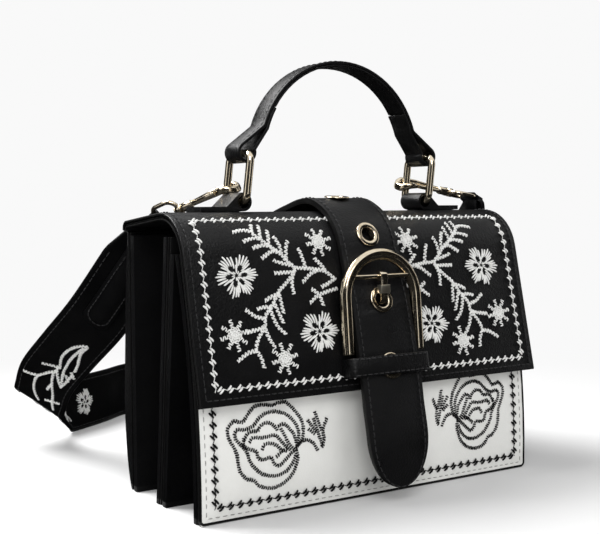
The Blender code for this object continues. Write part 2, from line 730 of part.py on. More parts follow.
bar_low = CHAPE_LEATHER + GAP * 2
bar_outline = [on_slope(0, bar_low), on_slope(BASE_BAR_HEIGHT, bar_low),
               on_slope(BASE_BAR_HEIGHT, bar_low + BASE_BAR), on_slope(0, bar_low + BASE_BAR)]
bar_half = BUCKLE_RADIUS - BUCKLE_WIRE - GAP
flat("buckle_base_bar", [bar_outline], bar_half, "gold", PARTS)
chape_out = bar_low + BASE_BAR + GAP
chape_path = [on_slope(-BASE_BAR_HEIGHT, GAP), on_slope(BASE_BAR_HEIGHT + GAP + CHAPE_LEATHER, GAP),
              on_slope(BASE_BAR_HEIGHT + GAP + CHAPE_LEATHER, chape_out + CHAPE_LEATHER),
              on_slope(-BASE_BAR_HEIGHT / 2, chape_out + CHAPE_LEATHER),
              on_slope(-BASE_BAR_HEIGHT / 2, chape_out),
              on_slope(BASE_BAR_HEIGHT + GAP, chape_out),
              on_slope(BASE_BAR_HEIGHT + GAP, GAP + CHAPE_LEATHER),
              on_slope(-BASE_BAR_HEIGHT, GAP + CHAPE_LEATHER)]
flat("buckle_chape", [chape_path], BASE_CHAPE_WIDTH / 2, "black_leather", PARTS)

# Prong round the centre bar, its tip in the third grommet's hole
eye_inner = BUCKLE_BAR + GAP
eye_outer = eye_inner + PRONG
bar_y = BAR_CENTRE[1]
bar_z = BAR_CENTRE[2]
grommet_point, grommet_normal = grommet_seats[2]
grommet_down = np.array([grommet_normal[1], -grommet_normal[0]])
if grommet_down[1] > 0:
    grommet_down = -grommet_down
over_lip = grommet_point + grommet_normal * (GROMMET_FLANGE + GAP * 2 + PRONG)
in_hole = grommet_point + grommet_normal * PRONG / 2 + grommet_down * GROMMET_HOLE / 2
prong_line = [np.array([bar_y - (eye_inner + eye_outer) / 2, bar_z]), over_lip, in_hole]
prong_line = rounded(prong_line, [PRONG], 4)
tongue = flat("prong_tongue_shape", [band(prong_line, -PRONG / 2, PRONG / 2)],
              PRONG_WIDTH / 2, None, CUTTERS)
tongue = hide(as_mesh(tongue))
eye = flat("prong", [arc((bar_y, bar_z), eye_outer, 0, 345, 23),
                     arc((bar_y, bar_z), eye_inner, 0, 337.5, 15)],
           PRONG_WIDTH / 2, "gold", PARTS)
eye = as_mesh(eye)
boolean(eye, tongue, "UNION")
sleeve_y, sleeve_z = along(prong_line, SLEEVE_DROP / float(lengths(prong_line)[-1]))[0]
sleeve_run = unit(over_lip - prong_line[0])
sleeve_side = np.array([sleeve_run[1], -sleeve_run[0]])
inner_half = PRONG_WIDTH / 2 + GAP
outer_half = inner_half + SLEEVE_WALL
inner_deep = PRONG / 2 + GAP
outer_deep = inner_deep + SLEEVE_WALL


def sleeve_box(name, half_width, half_deep, half_tall, look, group):
    middle = np.array([sleeve_y, sleeve_z])
    corners = []
    for along_run, aside in ((-1, -1), (1, -1), (1, 1), (-1, 1)):
        corners.append(middle + sleeve_run * half_tall * along_run + sleeve_side * half_deep * aside)
    return flat(name, [corners], half_width, look, group)


sleeve = as_mesh(sleeve_box("prong_sleeve", outer_half, outer_deep, SLEEVE_HEIGHT / 2,
                            "pale_gold", PARTS))
sleeve_room = as_mesh(sleeve_box("prong_sleeve_room", inner_half, inner_deep,
                                 SLEEVE_HEIGHT / 2 + OVERRUN, None, CUTTERS))
boolean(sleeve, hide(sleeve_room), "DIFFERENCE")

# Keeper
keeper_point, keeper_normal = flap_at(KEEPER_Z)
belt_out = BELT_LIFT * BELT_SHARES[-2][1] + BELT
side_out = belt_out + GAP * 2 + KEEPER
keeper_path = rounded([(-KEEPER_HALF, GAP), (-KEEPER_HALF, side_out),
                       (0, side_out + KEEPER_BOW), (KEEPER_HALF, side_out),
                       (KEEPER_HALF, GAP)],
                      [KEEPER_RADIUS, KEEPER_RADIUS * 8, KEEPER_RADIUS], 6)
keeper_outline = [(x, -out) for x, out in band(keeper_path, 0, KEEPER)]
keeper = flat("keeper", [keeper_outline], KEEPER_WIDTH / 2, "black_leather", PARTS, axis="Z",
              location=(0, keeper_point[0], keeper_point[1]))
keeper.rotation_euler = (math.atan2(-keeper_normal[1], -keeper_normal[0]), 0, 0)

# Rings and tabs
flap_top_y, flap_top_z = FLAP_CORNERS[2]
top_slope = (FLAP_CORNERS[1][1] - flap_top_z) / (FLAP_CORNERS[1][0] - flap_top_y)
RING_Z = flap_top_z + top_slope * (RING_Y - flap_top_y) + RING_LIFT
half_ring = RING_WIDTH / 2
for side, label in ((-1, "left"), (1, "right")):
    axis_x = side * RING_X
    loop = rounded_loop([(-half_ring, 0), (half_ring, 0), (half_ring, RING_HEIGHT),
                         (-half_ring, RING_HEIGHT)], RING_RADIUS)
    points = [(axis_x + up * math.sin(RING_LEAN), RING_Y + y, RING_Z + up * math.cos(RING_LEAN))
              for y, up in loop]
    wire("ring_" + label, points, RING_WIRE, "gold", PARTS, cyclic=True, sides=3)
    # Folded leather round the ring's lower bar, its tails lying outwards on the flap
    bore = RING_WIRE + TAB_ROOM
    rim = bore + TAB_WALL
    base = -RING_LIFT - OVERRUN / 2
    outline = arc((0, 0), rim, 52, 270, 16)
    outline += [np.array([0, base]), np.array([TAB_LENGTH, base]),
                np.array([TAB_LENGTH, TAB_END - RING_LIFT]),
                np.array([rim * 2, TAB_END - RING_LIFT])]
    outline = [(axis_x + side * x, RING_Z + z) for x, z in outline]
    hole = [(axis_x + side * x, RING_Z + z) for x, z in arc((0, 0), bore, 0, 337.5, 15)]
    tab = flat("tab_" + label, [outline, hole], TAB_WIDTH / 2, "black_leather", PARTS,
               axis="Y", location=(0, RING_Y, 0))
    tab = as_mesh(tab)
    under_flap = [point for point in offset_path(FLAP_FACE, GAP)]
    under_flap += [np.array([FLAP_TIP_Y, 0]), np.array([FLAP_BACK_Y, 0])]
    seat = flat("tab_seat_" + label, [under_flap], TAB_LENGTH * 2, None, CUTTERS,
                location=(axis_x, 0, 0))
    boolean(tab, hide(as_mesh(seat)), "DIFFERENCE")

# Handle
SHIFT_X = RING_HEIGHT * math.sin(RING_LEAN)
TOP_Z = RING_Z + RING_HEIGHT * math.cos(RING_LEAN)
ARCH_RADIUS = RING_X - HANDLE_FLARE
arch_z = -HANDLE_DROP
outer = ARCH_RADIUS - HANDLE / 2
inner = outer - HANDLE - GAP
eye_radius = HANDLE_EYE + HANDLE / 2
eye_z = HANDLE_EYE - RING_WIRE - PIVOT_GAP * 2 - GAP
eye_centre = (RING_X, eye_z)
side_path = arc((0, arch_z), outer, 90, 18, 14)
side_path += arc(eye_centre, eye_radius, 52, -198, 16)
side_path += arc((0, arch_z), inner, 17, 31, 4)
side_path = [point for point in side_path]
left_path = [np.array([-point[0], point[1]]) for point in side_path]
handle_path = left_path[::-1] + side_path[1:]
handle_path = [point + np.array([SHIFT_X, TOP_Z]) for point in handle_path]
flat("handle_strap", [band(handle_path, -HANDLE / 2, HANDLE / 2)], HANDLE_WIDTH / 2,
     "black_leather", PARTS, axis="Y", location=(0, RING_Y, 0))
lining_path = [point + np.array([SHIFT_X, TOP_Z]) for point in
               arc((0, arch_z), inner, 147.5, 32.5, 24)]
flat("handle_lining", [band(lining_path, -HANDLE / 2, HANDLE / 2)], HANDLE_WIDTH / 2,
     "black_leather", PARTS, axis="Y", location=(0, RING_Y, 0))


# Snap hooks
class HookFrame:
    """Directions of a snap hook: along its axis, across its claw and square to both."""

    def __init__(self, origin, yaw, dip, side):
        self.origin = np.array(origin)
        self.run = np.array([math.cos(yaw) * math.cos(dip), math.sin(yaw) * math.cos(dip),
                             -math.sin(dip)])
        level = np.array([math.sin(yaw), -math.cos(yaw), 0]) * side
        up = np.cross(level, self.run) * side
        self.level = level
        self.up = up if up[2] > 0 else -up
        self.across = level * math.cos(HOOK_ROLL) + self.up * math.sin(HOOK_ROLL)
        self.normal = np.cross(self.run, self.across)
        # Reach of the claw past the leg, which it crosses at a slant
        slant = np.cross(self.run, (math.sin(RING_LEAN), 0, math.cos(RING_LEAN)))
        self.tip = (RING_WIRE + HOOK_WIRE + HOOK_PLAY) / float(np.linalg.norm(slant))

    def at(self, along_run, across=0.0):
        return self.origin + self.run * along_run + self.across * across


def snap_hook(label, frame_):
    """Claw, neck and swivel post as one solid, with its sprung gate."""
    claw = rounded([frame_.at(HOOK_NOSE, -HOOK_HALF), frame_.at(-frame_.tip, -HOOK_HALF),
                    frame_.at(-frame_.tip, HOOK_HALF), frame_.at(HOOK_SHOULDER, HOOK_HALF),
                    frame_.at(HOOK_NECK + HOOK_WIRE, COLLAR_RADIUS / 2)],
                   [HOOK_CORNER, HOOK_CORNER, HOOK_HALF], 6)
    hook = as_mesh(wire("hook_" + label, claw, HOOK_WIRE, "gold", PARTS))
    post_end = HOOK_COLLAR + GAP + SWIVEL_LENGTH + GAP
    profile = [(0, post_end + POST_RADIUS), (POST_HEAD, post_end + POST_RADIUS),
               (POST_HEAD, post_end), (POST_RADIUS, post_end), (POST_RADIUS, HOOK_COLLAR),
               (COLLAR_RADIUS, HOOK_COLLAR), (COLLAR_RADIUS, HOOK_COLLAR - HOOK_WIRE),
               (COLLAR_WAIST, HOOK_COLLAR - HOOK_WIRE * 2),
               (COLLAR_RADIUS, HOOK_NECK + HOOK_WIRE), (COLLAR_RADIUS, HOOK_NECK),
               (0, HOOK_NECK)]
    neck = turned("hook_neck_" + label, profile, None, CUTTERS, frame_.at(0), frame_.run, 16)
    boolean(hook, hide(neck), "UNION")
    gate_tip = HOOK_NOSE + GAP * 3
    gate = [frame_.at(GATE_PIVOT + GATE_WIRE, -GATE_OFFSET),
            frame_.at(GATE_PIVOT - GATE_WIRE, -GATE_OFFSET),
            frame_.at(HOOK_SHOULDER, -HOOK_HALF), frame_.at(gate_tip, -HOOK_HALF)]
    gate = rounded(gate, [GATE_WIRE * 2, HOOK_HALF], 4)
    wire("gate_" + label, gate, GATE_WIRE, "gold", PARTS)


def swivel_loop(label, frame_, roll, side):
    """Barrel on the hook's post, with a loop for the strap; gives the far bar."""
    across = frame_.level * math.cos(roll) + frame_.up * math.sin(roll)
    start = HOOK_COLLAR + GAP
    middle = start + SWIVEL_LENGTH / 2
    far = HOOK_COLLAR + LOOP_REACH
    bore = POST_RADIUS + GAP

    def at(along_run, aside):
        return frame_.origin + frame_.run * along_run + across * aside

    first = [at(middle, -bore - GAP), at(middle, -LOOP_HALF), at(far, -LOOP_HALF)]
    last = [at(far, LOOP_HALF), at(middle, LOOP_HALF), at(middle, bore + GAP)]
    path = rounded(first + last, [LOOP_RADIUS] * 4, 5)
    loop = as_mesh(wire("swivel_loop_" + label, path, LOOP_WIRE, "gold", PARTS))
    profile = [(COLLAR_RADIUS, start + SWIVEL_LENGTH), (COLLAR_RADIUS, start),
               (bore, start), (bore, start + SWIVEL_LENGTH)]
    barrel = turned("swivel_barrel_" + label, profile, None, CUTTERS, frame_.at(0),
                    frame_.run, 16)
    boolean(loop, hide(barrel), "UNION")
    return at(far, 0), across * side


leg_y = RING_Y + half_ring


def leg(x, up):
    """Point up the rear leg of a ring."""
    return (x + up * math.sin(RING_LEAN), leg_y, RING_Z + up * math.cos(RING_LEAN))


LEFT = HookFrame(leg(-RING_X, LEFT_HOOK_UP), LEFT_HOOK_YAW, LEFT_HOOK_DIP, 1)
RIGHT = HookFrame(leg(RING_X, RIGHT_HOOK_UP), RIGHT_HOOK_YAW, RIGHT_HOOK_DIP, -1)
snap_hook("left", LEFT)
snap_hook("right", RIGHT)
LEFT_BAR, LEFT_ACROSS = swivel_loop("left", LEFT, LEFT_LOOP_ROLL, 1)
RIGHT_BAR, RIGHT_ACROSS = swivel_loop("right", RIGHT, RIGHT_LOOP_ROLL, -1)

# Shoulder strap
middles = [LEFT_BAR]
crosswise = [LEFT_ACROSS]
for (x, y, z, width), direction in LEFT_STRAP_SHARES:
    middles.append(np.array([HALF * x, STRAP_REACH * y, BACK_HEIGHT * z + STRAP_WIDTH * width]))
    crosswise.append(unit(direction))
down = np.array([0, 0, -1.0])
for x, y in FLOOR_STRAP_SHARES:
    middles.append(np.array([HALF * x, STRAP_REACH * y, STRAP_WIDTH / 2 + GAP]))
    crosswise.append(down)
rise_y = RIGHT_BAR[1]
rise_reach = STRAP_REACH * FLOOR_STRAP_SHARES[-1][1] - rise_y
rise_tall = RIGHT_BAR[2] - STRAP_WIDTH / 2
for (x, y, z), (run_share, rise_share) in zip(RIGHT_STRAP_SHARES, RIGHT_LEAN_SHARES):
    middles.append(np.array([HALF * x, rise_y + rise_reach * y,
                             STRAP_WIDTH / 2 + rise_tall * z]))
    lean = math.atan2(rise_share, run_share)
    crosswise.append(unit((0, -math.sin(lean), -math.cos(lean))))
middles.append(np.array([HALF * RIGHT_TOP_SHARES[0], rise_y, RIGHT_BAR[2] * RIGHT_TOP_SHARES[2]]))
crosswise.append(RIGHT_ACROSS)
middles.append(RIGHT_BAR)
crosswise.append(RIGHT_ACROSS)
STEPS = 5
line = smooth(middles, STEPS)
crosses = [unit(vector) for vector in smooth(crosswise, STEPS)]
tangents = []
for index in range(len(line)):
    before = line[max(index - 1, 0)]
    after = line[min(index + 1, len(line) - 1)]
    tangents.append(unit(after - before))
normals = [unit(np.cross(tangent, cross)) for tangent, cross in zip(tangents, crosses)]
for point, cross, normal in zip(line, crosses, normals):
    floor_height = STRAP_WIDTH / 2 * abs(cross[2]) + STRAP / 2 * abs(normal[2]) + GAP
    point[2] = max(point[2], floor_height)
distance = lengths(line)


def ribbon_at(target):
    """Middle, crosswise direction and outward normal at a distance along the strap."""
    index = int(np.clip(np.searchsorted(distance, target) - 1, 0, len(line) - 2))
    share = (target - distance[index]) / (distance[index + 1] - distance[index])
    mix = [unit(first * (1 - share) + second * share) for first, second in
           ((crosses[index], crosses[index + 1]), (normals[index], normals[index + 1]))]
    return line[index] * (1 - share) + line[index + 1] * share, mix[0], mix[1]


total = float(distance[-1])
stops = [STRAP_START] + [float(d) for d in distance if STRAP_START * 2 < d < total - STRAP_START * 2]
stops.append(total - STRAP_START)
rows = []
for stop in stops:
    middle, cross, normal = ribbon_at(stop)
    rows.append([middle - cross * STRAP_WIDTH / 2, middle + cross * STRAP_WIDTH / 2])
sheet("shoulder_strap", rows, STRAP, "strap_leather", PARTS)
print("strap length between the loops' bars: %.3f m" % total)


def strap_chape(name, from_start):
    """Narrow strip folded round a loop's bar and stitched to both faces of the strap."""
    rise = STRAP / 2 + GAP * 2 + CHAPE / 2

    def stop(reach):
        return reach if from_start else total - reach

    def width(reach):
        share = min(reach / CHAPE_TAPER, 1.0)
        return CHAPE_NECK + (CHAPE_WIDTH - CHAPE_NECK) * share

    chape_rows = []

    def row(reach, side, narrow=1.0):
        middle, cross, normal = ribbon_at(stop(reach))
        point = middle + normal * rise * side
        half = width(reach) / 2 * narrow
        chape_rows.append([point - cross * half, point + cross * half])

    end_shares = [(0.0, 0.45), (0.02, 0.8), (0.06, 1.0)]
    reaches = sorted(stop(other) for other in stops)

    def ply(length, side):
        """Rows of one ply, from the loop to its rounded end."""
        full = length * (1 - end_shares[-1][0])
        made = [(reach, 1.0) for reach in reaches if reach < full - CHAPE * 2]
        made += [(length * (1 - share), narrow) for share, narrow in end_shares[::-1]]
        return [(reach, side, narrow) for reach, narrow in made]

    for reach, side, narrow in ply(CHAPE_FRONT, 1)[::-1]:
        row(reach, side, narrow)
    middle, cross, normal = ribbon_at(stop(0.0))
    ahead = ribbon_at(stop(STRAP_START))[0] - middle
    ahead = unit(ahead - cross * float(ahead @ cross))
    side_normal = unit(np.cross(ahead, cross)) * (1 if from_start else -1)
    turn = LOOP_WIRE + GAP + CHAPE / 2
    for step in range(9):
        angle = math.pi * step / 8
        point = middle + side_normal * turn * math.cos(angle) - ahead * turn * math.sin(angle)
        chape_rows.append([point - cross * CHAPE_NECK / 2, point + cross * CHAPE_NECK / 2])
    for reach, side, narrow in ply(CHAPE_BACK, -1):
        row(reach, side, narrow)
    return sheet(name, chape_rows, CHAPE, "strap_leather", PARTS)


strap_chape("strap_chape_left", True)
strap_chape("strap_chape_right", False)

# Joints: an empty on each joint's axis, carrying what moves with it
def pivot(name, at, moved, carrier=None):
    """Empty at a joint, with its pieces parented to it where they stand."""
    empty = bpy.data.objects.new(name, None)
    empty.location = at
    empty.empty_display_size = RING_WIDTH / 2
    PARTS.objects.link(empty)
    if carrier:
        empty.parent = carrier
        empty.matrix_parent_inverse = Matrix.Translation(carrier.location).inverted()
    for piece in moved:
        item = PARTS.objects[piece]
        item.parent = empty
        item.matrix_parent_inverse = Matrix.Translation(empty.location).inverted()
    return empty


FLAP_PIECES = ["flap_leather", "flap_board", "flap_lining", "magnet_stud", "belt", "grommet_1",
               "grommet_2", "grommet_3", "grommet_4", "buckle_frame", "buckle_base_bar",
               "buckle_chape", "keeper", "tab_left", "tab_right"]
flap_pivot = pivot("flap_hinge", (0, HINGE_Y, HINGE_Z), FLAP_PIECES)
pivot("prong_hinge", BAR_CENTRE, ["prong", "prong_sleeve"], flap_pivot)
for label, axis_x, hook in (("left", -RING_X, LEFT), ("right", RING_X, RIGHT)):
    ring_pivot = pivot("ring_hinge_" + label, (axis_x, RING_Y, RING_Z), ["ring_" + label],
                       flap_pivot)
    if label == "left":
        pivot("handle_hinge", (axis_x + SHIFT_X, RING_Y, TOP_Z), ["handle_strap", "handle_lining"],
              ring_pivot)
    hook_pivot = pivot("hook_hinge_" + label, hook.origin, ["hook_" + label], ring_pivot)
    pivot("gate_hinge_" + label, hook.at(GATE_PIVOT, -GATE_OFFSET), ["gate_" + label], hook_pivot)
    pivot("swivel_axis_" + label, hook.at(HOOK_COLLAR), ["swivel_loop_" + label], hook_pivot)

# Shading
for item in PARTS.objects:
    if item.type == "MESH":
        item.data.shade_smooth()
        item.data.set_sharp_from_angle(angle=math.radians(35))
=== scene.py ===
"""Embroidered satchel: leather with grain, thread embroidery and seams, and polished
metal fittings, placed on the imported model. Metres, +Z up, +X to the bag's right."""
import json
import math
import random

import bmesh
import bpy
import numpy as np
from mathutils import Matrix, Vector
from mathutils.bvhtree import BVHTree

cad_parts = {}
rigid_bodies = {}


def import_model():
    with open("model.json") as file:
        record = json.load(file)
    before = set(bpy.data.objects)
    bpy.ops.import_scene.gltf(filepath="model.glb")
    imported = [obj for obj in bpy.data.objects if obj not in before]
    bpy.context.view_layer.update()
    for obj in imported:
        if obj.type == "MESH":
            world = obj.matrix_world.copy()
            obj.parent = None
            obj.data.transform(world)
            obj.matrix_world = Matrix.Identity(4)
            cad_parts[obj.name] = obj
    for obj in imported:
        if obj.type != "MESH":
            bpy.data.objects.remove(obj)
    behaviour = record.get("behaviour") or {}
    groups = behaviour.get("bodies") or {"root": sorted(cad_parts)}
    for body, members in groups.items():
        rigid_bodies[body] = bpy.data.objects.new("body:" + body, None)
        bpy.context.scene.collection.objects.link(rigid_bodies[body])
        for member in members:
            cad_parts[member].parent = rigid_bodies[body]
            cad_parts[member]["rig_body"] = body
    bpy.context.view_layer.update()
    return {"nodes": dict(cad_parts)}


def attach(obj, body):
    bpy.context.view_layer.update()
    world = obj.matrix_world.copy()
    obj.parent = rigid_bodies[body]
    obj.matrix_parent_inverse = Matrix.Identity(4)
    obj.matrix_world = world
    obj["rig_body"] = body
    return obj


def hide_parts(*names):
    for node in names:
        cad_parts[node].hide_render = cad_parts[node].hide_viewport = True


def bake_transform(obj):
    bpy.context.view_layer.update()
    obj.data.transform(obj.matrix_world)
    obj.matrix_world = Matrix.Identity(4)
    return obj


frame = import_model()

MM = 0.001
UNEVEN = random.Random(7)

# Camera, solved on the bag's own box in the photograph
CAMERA_AT = (-0.35411, -0.51821, 0.1633)
CAMERA_YAW, CAMERA_PITCH, CAMERA_ROLL = 0.56746, 0.05807, -0.00624
CAMERA_LENS, SENSOR_WIDTH = 63.5, 36
BACKDROP = (0.947, 0.947, 0.947, 1)

# Sizes shared with the solids, in millimetres
FRONT_FOOT_Y, FRONT_SWELL, FRONT_LEAN, FRONT_HEIGHT = -43.6, 3.7, 21.1, 138.0
BELT_HALF, BELT_TIP, BELT_MARGIN = 20.0, 28.0, 2.8
STRAP_HALF, STRAP_THICK = 20.0, 3.0
RING_X, RING_Y, RING_Z, RING_LEAN = 64.5, 2.8, 165.473, math.radians(7)
RING_WIDTH, RING_HEIGHT, RING_WIRE, RING_RADIUS = 23.6, 27.2, 2.25, 5.0
PANEL_HALF = 112.5
GROMMETS = [((-3.19, 167.46), (-0.0699, 0.9976)), ((-33.73, 146.63), (-0.8979, 0.4402)),
            ((-46.53, 110.55), (-0.946, 0.3243)), ((-55.69, 74.74), (-0.9595, 0.2818))]
GROMMET_RADIUS, GROMMET_HOLE, GROMMET_FLANGE, BELT_THICK = 7.4, 4.2, 1.1, 3.2
BUCKLE_FOOT, BUCKLE_HEAD = (-49.575, 81.639), (-44.670, 135.928)
BUCKLE_RADIUS, BUCKLE_WIRE, BUCKLE_BAR, BUCKLE_BAR_UP = 24.1, 3.2, 1.4, 42.2325
BUCKLE_BAR_FORWARD = 1.1
HOOK_WIRE, HOOK_HALF, HOOK_NOSE, HOOK_SHOULDER = 1.6, 6.3, 4.6, 12.0
HOOK_NECK, HOOK_COLLAR, HOOK_CORNER = 27.0, 34.0, 5.0
COLLAR_RADIUS, SWIVEL_LENGTH, POST_RADIUS, POST_HEAD = 2.8, 3.9, 1.2, 2.1
GATE_WIRE, GATE_PIVOT, GATE_OFFSET = 1.2, 25.2, 3.0
LOOP_WIRE, LOOP_HALF, LOOP_REACH, LOOP_RADIUS = 1.5, 8.0, 19.0, 4.5
CHAPE_LENGTH, CHAPE_NECK, CHAPE_WIDTH, CHAPE_TAPER = 84.0, 10.0, 18.0, 14.0

# The keeper's middle and directions, in metres
KEEPER_AT, KEEPER_UP = Vector((0, -0.047521, 0.0735)), Vector((0, 0.22075, 0.97533))
KEEPER_OUT = Vector((0, -0.97533, 0.22075))

# Sizes of the scene's own shapes, in millimetres
HINGE_Y, HINGE_Z, PIPING_HALF, PIPING_RADIUS = 45.3, 149.3, 112.0, 1.0
KEEPER_NARROWED = 0.12
LINING_THINNED, LINING_LONGER = 0.55, 0.020
STRAP_GAP, STRAP_END_SHARE, STRAP_END_TAPER, STRAP_END_ROUND = 4.0, 0.42, 30.0, 2.5
CLAW_CURL_FROM = 2.5
CLAW_WIDTHS = ((0.0, 3.4), (0.15, 4.6), (0.6, 5.0), (0.9, 4.8), (1.0, 4.4))

# The shoulder strap's middle line and its crosswise direction, from the left loop's bar
STRAP_ROUTE = [
    (-85.8, 59.1, 155.8, 0.72, 0.08, -0.69), (-94.0, 64.5, 139.0, 0.74, 0.0, -0.67),
    (-102.0, 72.1, 122.0, 0.75, -0.1, -0.65), (-109.0, 100.1, 95.1, 0.76, -0.25, -0.6),
    (-115.0, 134.9, 71.1, 0.76, -0.25, -0.6), (-121.1, 159.9, 51.0, 0.76, -0.25, -0.6),
    (-120.5, 175.7, 36.2, 0.79, -0.21, -0.58), (-117.3, 187.0, 29.1, 0.79, -0.15, -0.6),
    (-107.5, 196.0, 25.1, 0.63, 0.0, -0.78), (-96.5, 204.0, 21.9, 0.38, 0.05, -0.92),
    (-86.0, 210.5, 20.3, 0.1, 0.02, -0.99), (-53.0, 232.0, 20.3, 0.0, 0.0, -1.0),
    (-26.0, 251.9, 20.3, 0.0, 0.0, -1.0), (20.0, 267.9, 20.3, 0.0, 0.0, -1.0),
    (70.0, 251.9, 20.3, 0.0, 0.0, -1.0), (105.0, 210.0, 20.3, 0.0, 0.0, -1.0),
    (124.0, 165.4, 20.3, 0.0, 0.0, -1.0), (126.0, 113.4, 34.7, 0.0, -0.19, -0.98),
    (124.9, 85.2, 63.2, 0.0, -0.62, -0.79), (122.1, 51.1, 90.8, 0.0, -0.93, -0.37),
    (120.5, 14.6, 158.3, 0.0, -1.0, 0.0), (118.2, 14.6, 168.4, 0.0, -1.0, 0.0)]


def placed(name, data):
    item = bpy.data.objects.new(name, data)
    bpy.context.scene.collection.objects.link(item)
    return item


def finished(shape, name):
    """A new object from a bmesh."""
    data = bpy.data.meshes.new(name)
    shape.to_mesh(data)
    shape.free()
    return placed(name, data)


def plane(name, half):
    shape = bmesh.new()
    bmesh.ops.create_grid(shape, x_segments=1, y_segments=1, size=half)
    return finished(shape, name)


class Wiring:
    """Nodes and links of one material or world."""

    def __init__(self, owner, empty=False):
        owner.use_nodes = True
        self.owner, self.tree = owner, owner.node_tree
        if empty:
            self.tree.nodes.clear()
        self.shader = self.tree.nodes.get("Principled BSDF")

    def add(self, kind, *sources, output=0, **values):
        """Output of a new node, its first inputs linked to the sources."""
        node = self.tree.nodes.new(kind)
        for key, value in values.items():
            if key in node.bl_rna.properties:
                setattr(node, key, value)
            else:
                node.inputs[key.replace("_", " ")].default_value = value
        for source, socket in zip(sources, node.inputs):
            self.tree.links.new(source, socket)
        return node.outputs[output] if node.outputs else None

    def feed(self, socket, source):
        self.tree.links.new(source, self.shader.inputs[socket])

    def fix(self, **values):
        """Constants of the shader's own sockets."""
        for key, value in values.items():
            self.shader.inputs[key.replace("_", " ")].default_value = value

    def tint(self, tone, dark, light, start, end):
        """Colour from dark to light as a tone runs from start to end."""
        colour = self.add("ShaderNodeValToRGB", tone)
        stops = colour.node.color_ramp.elements
        for stop, value, position in zip(stops, (dark, light), (start, end)):
            stop.color = (*value, 1)
            stop.position = position
        return colour

    def relief(self, height, strength, distance):
        bump = self.add("ShaderNodeBump", Strength=strength, Distance=distance * MM)
        self.tree.links.new(height, bump.node.inputs["Height"])
        self.feed("Normal", bump)

    def seen_ray(self):
        """1 on rays from the camera, through glass or off a glossy face, else 0."""
        path = self.add("ShaderNodeLightPath").node.outputs
        seen = path["Is Camera Ray"]
        for ray in ("Is Transmission Ray", "Is Glossy Ray"):
            seen = self.add("ShaderNodeMath", seen, path[ray], operation="MAXIMUM")
        return seen


# Camera, light and floor
def place_camera():
    lens = bpy.data.cameras.new("camera")
    lens.lens = CAMERA_LENS
    lens.sensor_width = SENSOR_WIDTH
    lens.sensor_fit = "HORIZONTAL"
    camera = placed("camera", lens)
    camera.matrix_world = (Matrix.Translation(CAMERA_AT) @ Matrix.Rotation(-CAMERA_YAW, 4, "Z")
                           @ Matrix.Rotation(math.pi / 2 - CAMERA_PITCH, 4, "X")
                           @ Matrix.Rotation(CAMERA_ROLL, 4, "Z"))
    bpy.context.scene.camera = camera


def area_light(name, at, aim_height, size, power):
    lamp = bpy.data.lights.new(name, "AREA")
    lamp.energy = power
    lamp.size = size
    item = placed(name, lamp)
    item.location = at
    aim = Vector((0, 0, aim_height)) - Vector(at)
    item.rotation_euler = aim.to_track_quat("-Z", "Y").to_euler()
    return item


def light_scene():
    world = bpy.data.worlds.new("studio")
    bpy.context.scene.world = world
    wires = Wiring(world, empty=True)
    soft = wires.add("ShaderNodeBackground", Color=(1, 1, 1, 1), Strength=0.42)
    white = wires.add("ShaderNodeBackground", Color=BACKDROP, Strength=1.0)
    mix = wires.add("ShaderNodeMixShader", wires.seen_ray(), soft, white)
    wires.add("ShaderNodeOutputWorld", mix)
    area_light("key", (-0.65, -1.05, 1.05), 0.08, 0.8, 10.5)
    area_light("fill", (0.55, -1.25, 0.65), 0.08, 0.9, 5.0).visible_glossy = False
    area_light("top", (-0.52, 0.60, 1.26), 0.1, 0.8, 35)


def make_floor():
    """Pale floor that shows near white to the eye and keeps the bag's shadow."""
    floor = plane("floor", 6)
    wires = Wiring(bpy.data.materials.new("floor"), empty=True)
    plain = wires.add("ShaderNodeBsdfDiffuse", Color=(0.66, 0.66, 0.66, 1))
    where = wires.add("ShaderNodeTexCoord", output="Object")
    away = wires.add("ShaderNodeVectorMath", where, output="Value", operation="LENGTH")
    fade = wires.add("ShaderNodeMapRange", away, interpolation_type="SMOOTHSTEP",
                     From_Min=0.14, From_Max=0.60, To_Min=0.08, To_Max=1.0)
    glow = wires.add("ShaderNodeEmission", Color=BACKDROP, Strength=1.0)
    both = wires.add("ShaderNodeMixShader", fade, plain, glow)
    mix = wires.add("ShaderNodeMixShader", wires.seen_ray(), plain, both)
    wires.add("ShaderNodeOutputMaterial", mix)
    floor.data.materials.append(wires.owner)


def dark_card(name, at, wide, tall):
    """Black studio card: only reflections see it. It darkens black leather and metal."""
    card = plane(name, 0.5)
    card.location = at
    card.scale = (wide, tall, 1)
    card.rotation_euler = (Vector((0, 0, 0.1)) - Vector(at)).to_track_quat("Z", "Y").to_euler()
    wires = Wiring(bpy.data.materials.new(name))
    wires.fix(Base_Color=(0.01, 0.01, 0.01, 1), Specular_IOR_Level=0.0)
    card.data.materials.append(wires.owner)
    for ray in ("camera", "diffuse", "shadow", "transmission"):
        setattr(card, "visible_" + ray, False)


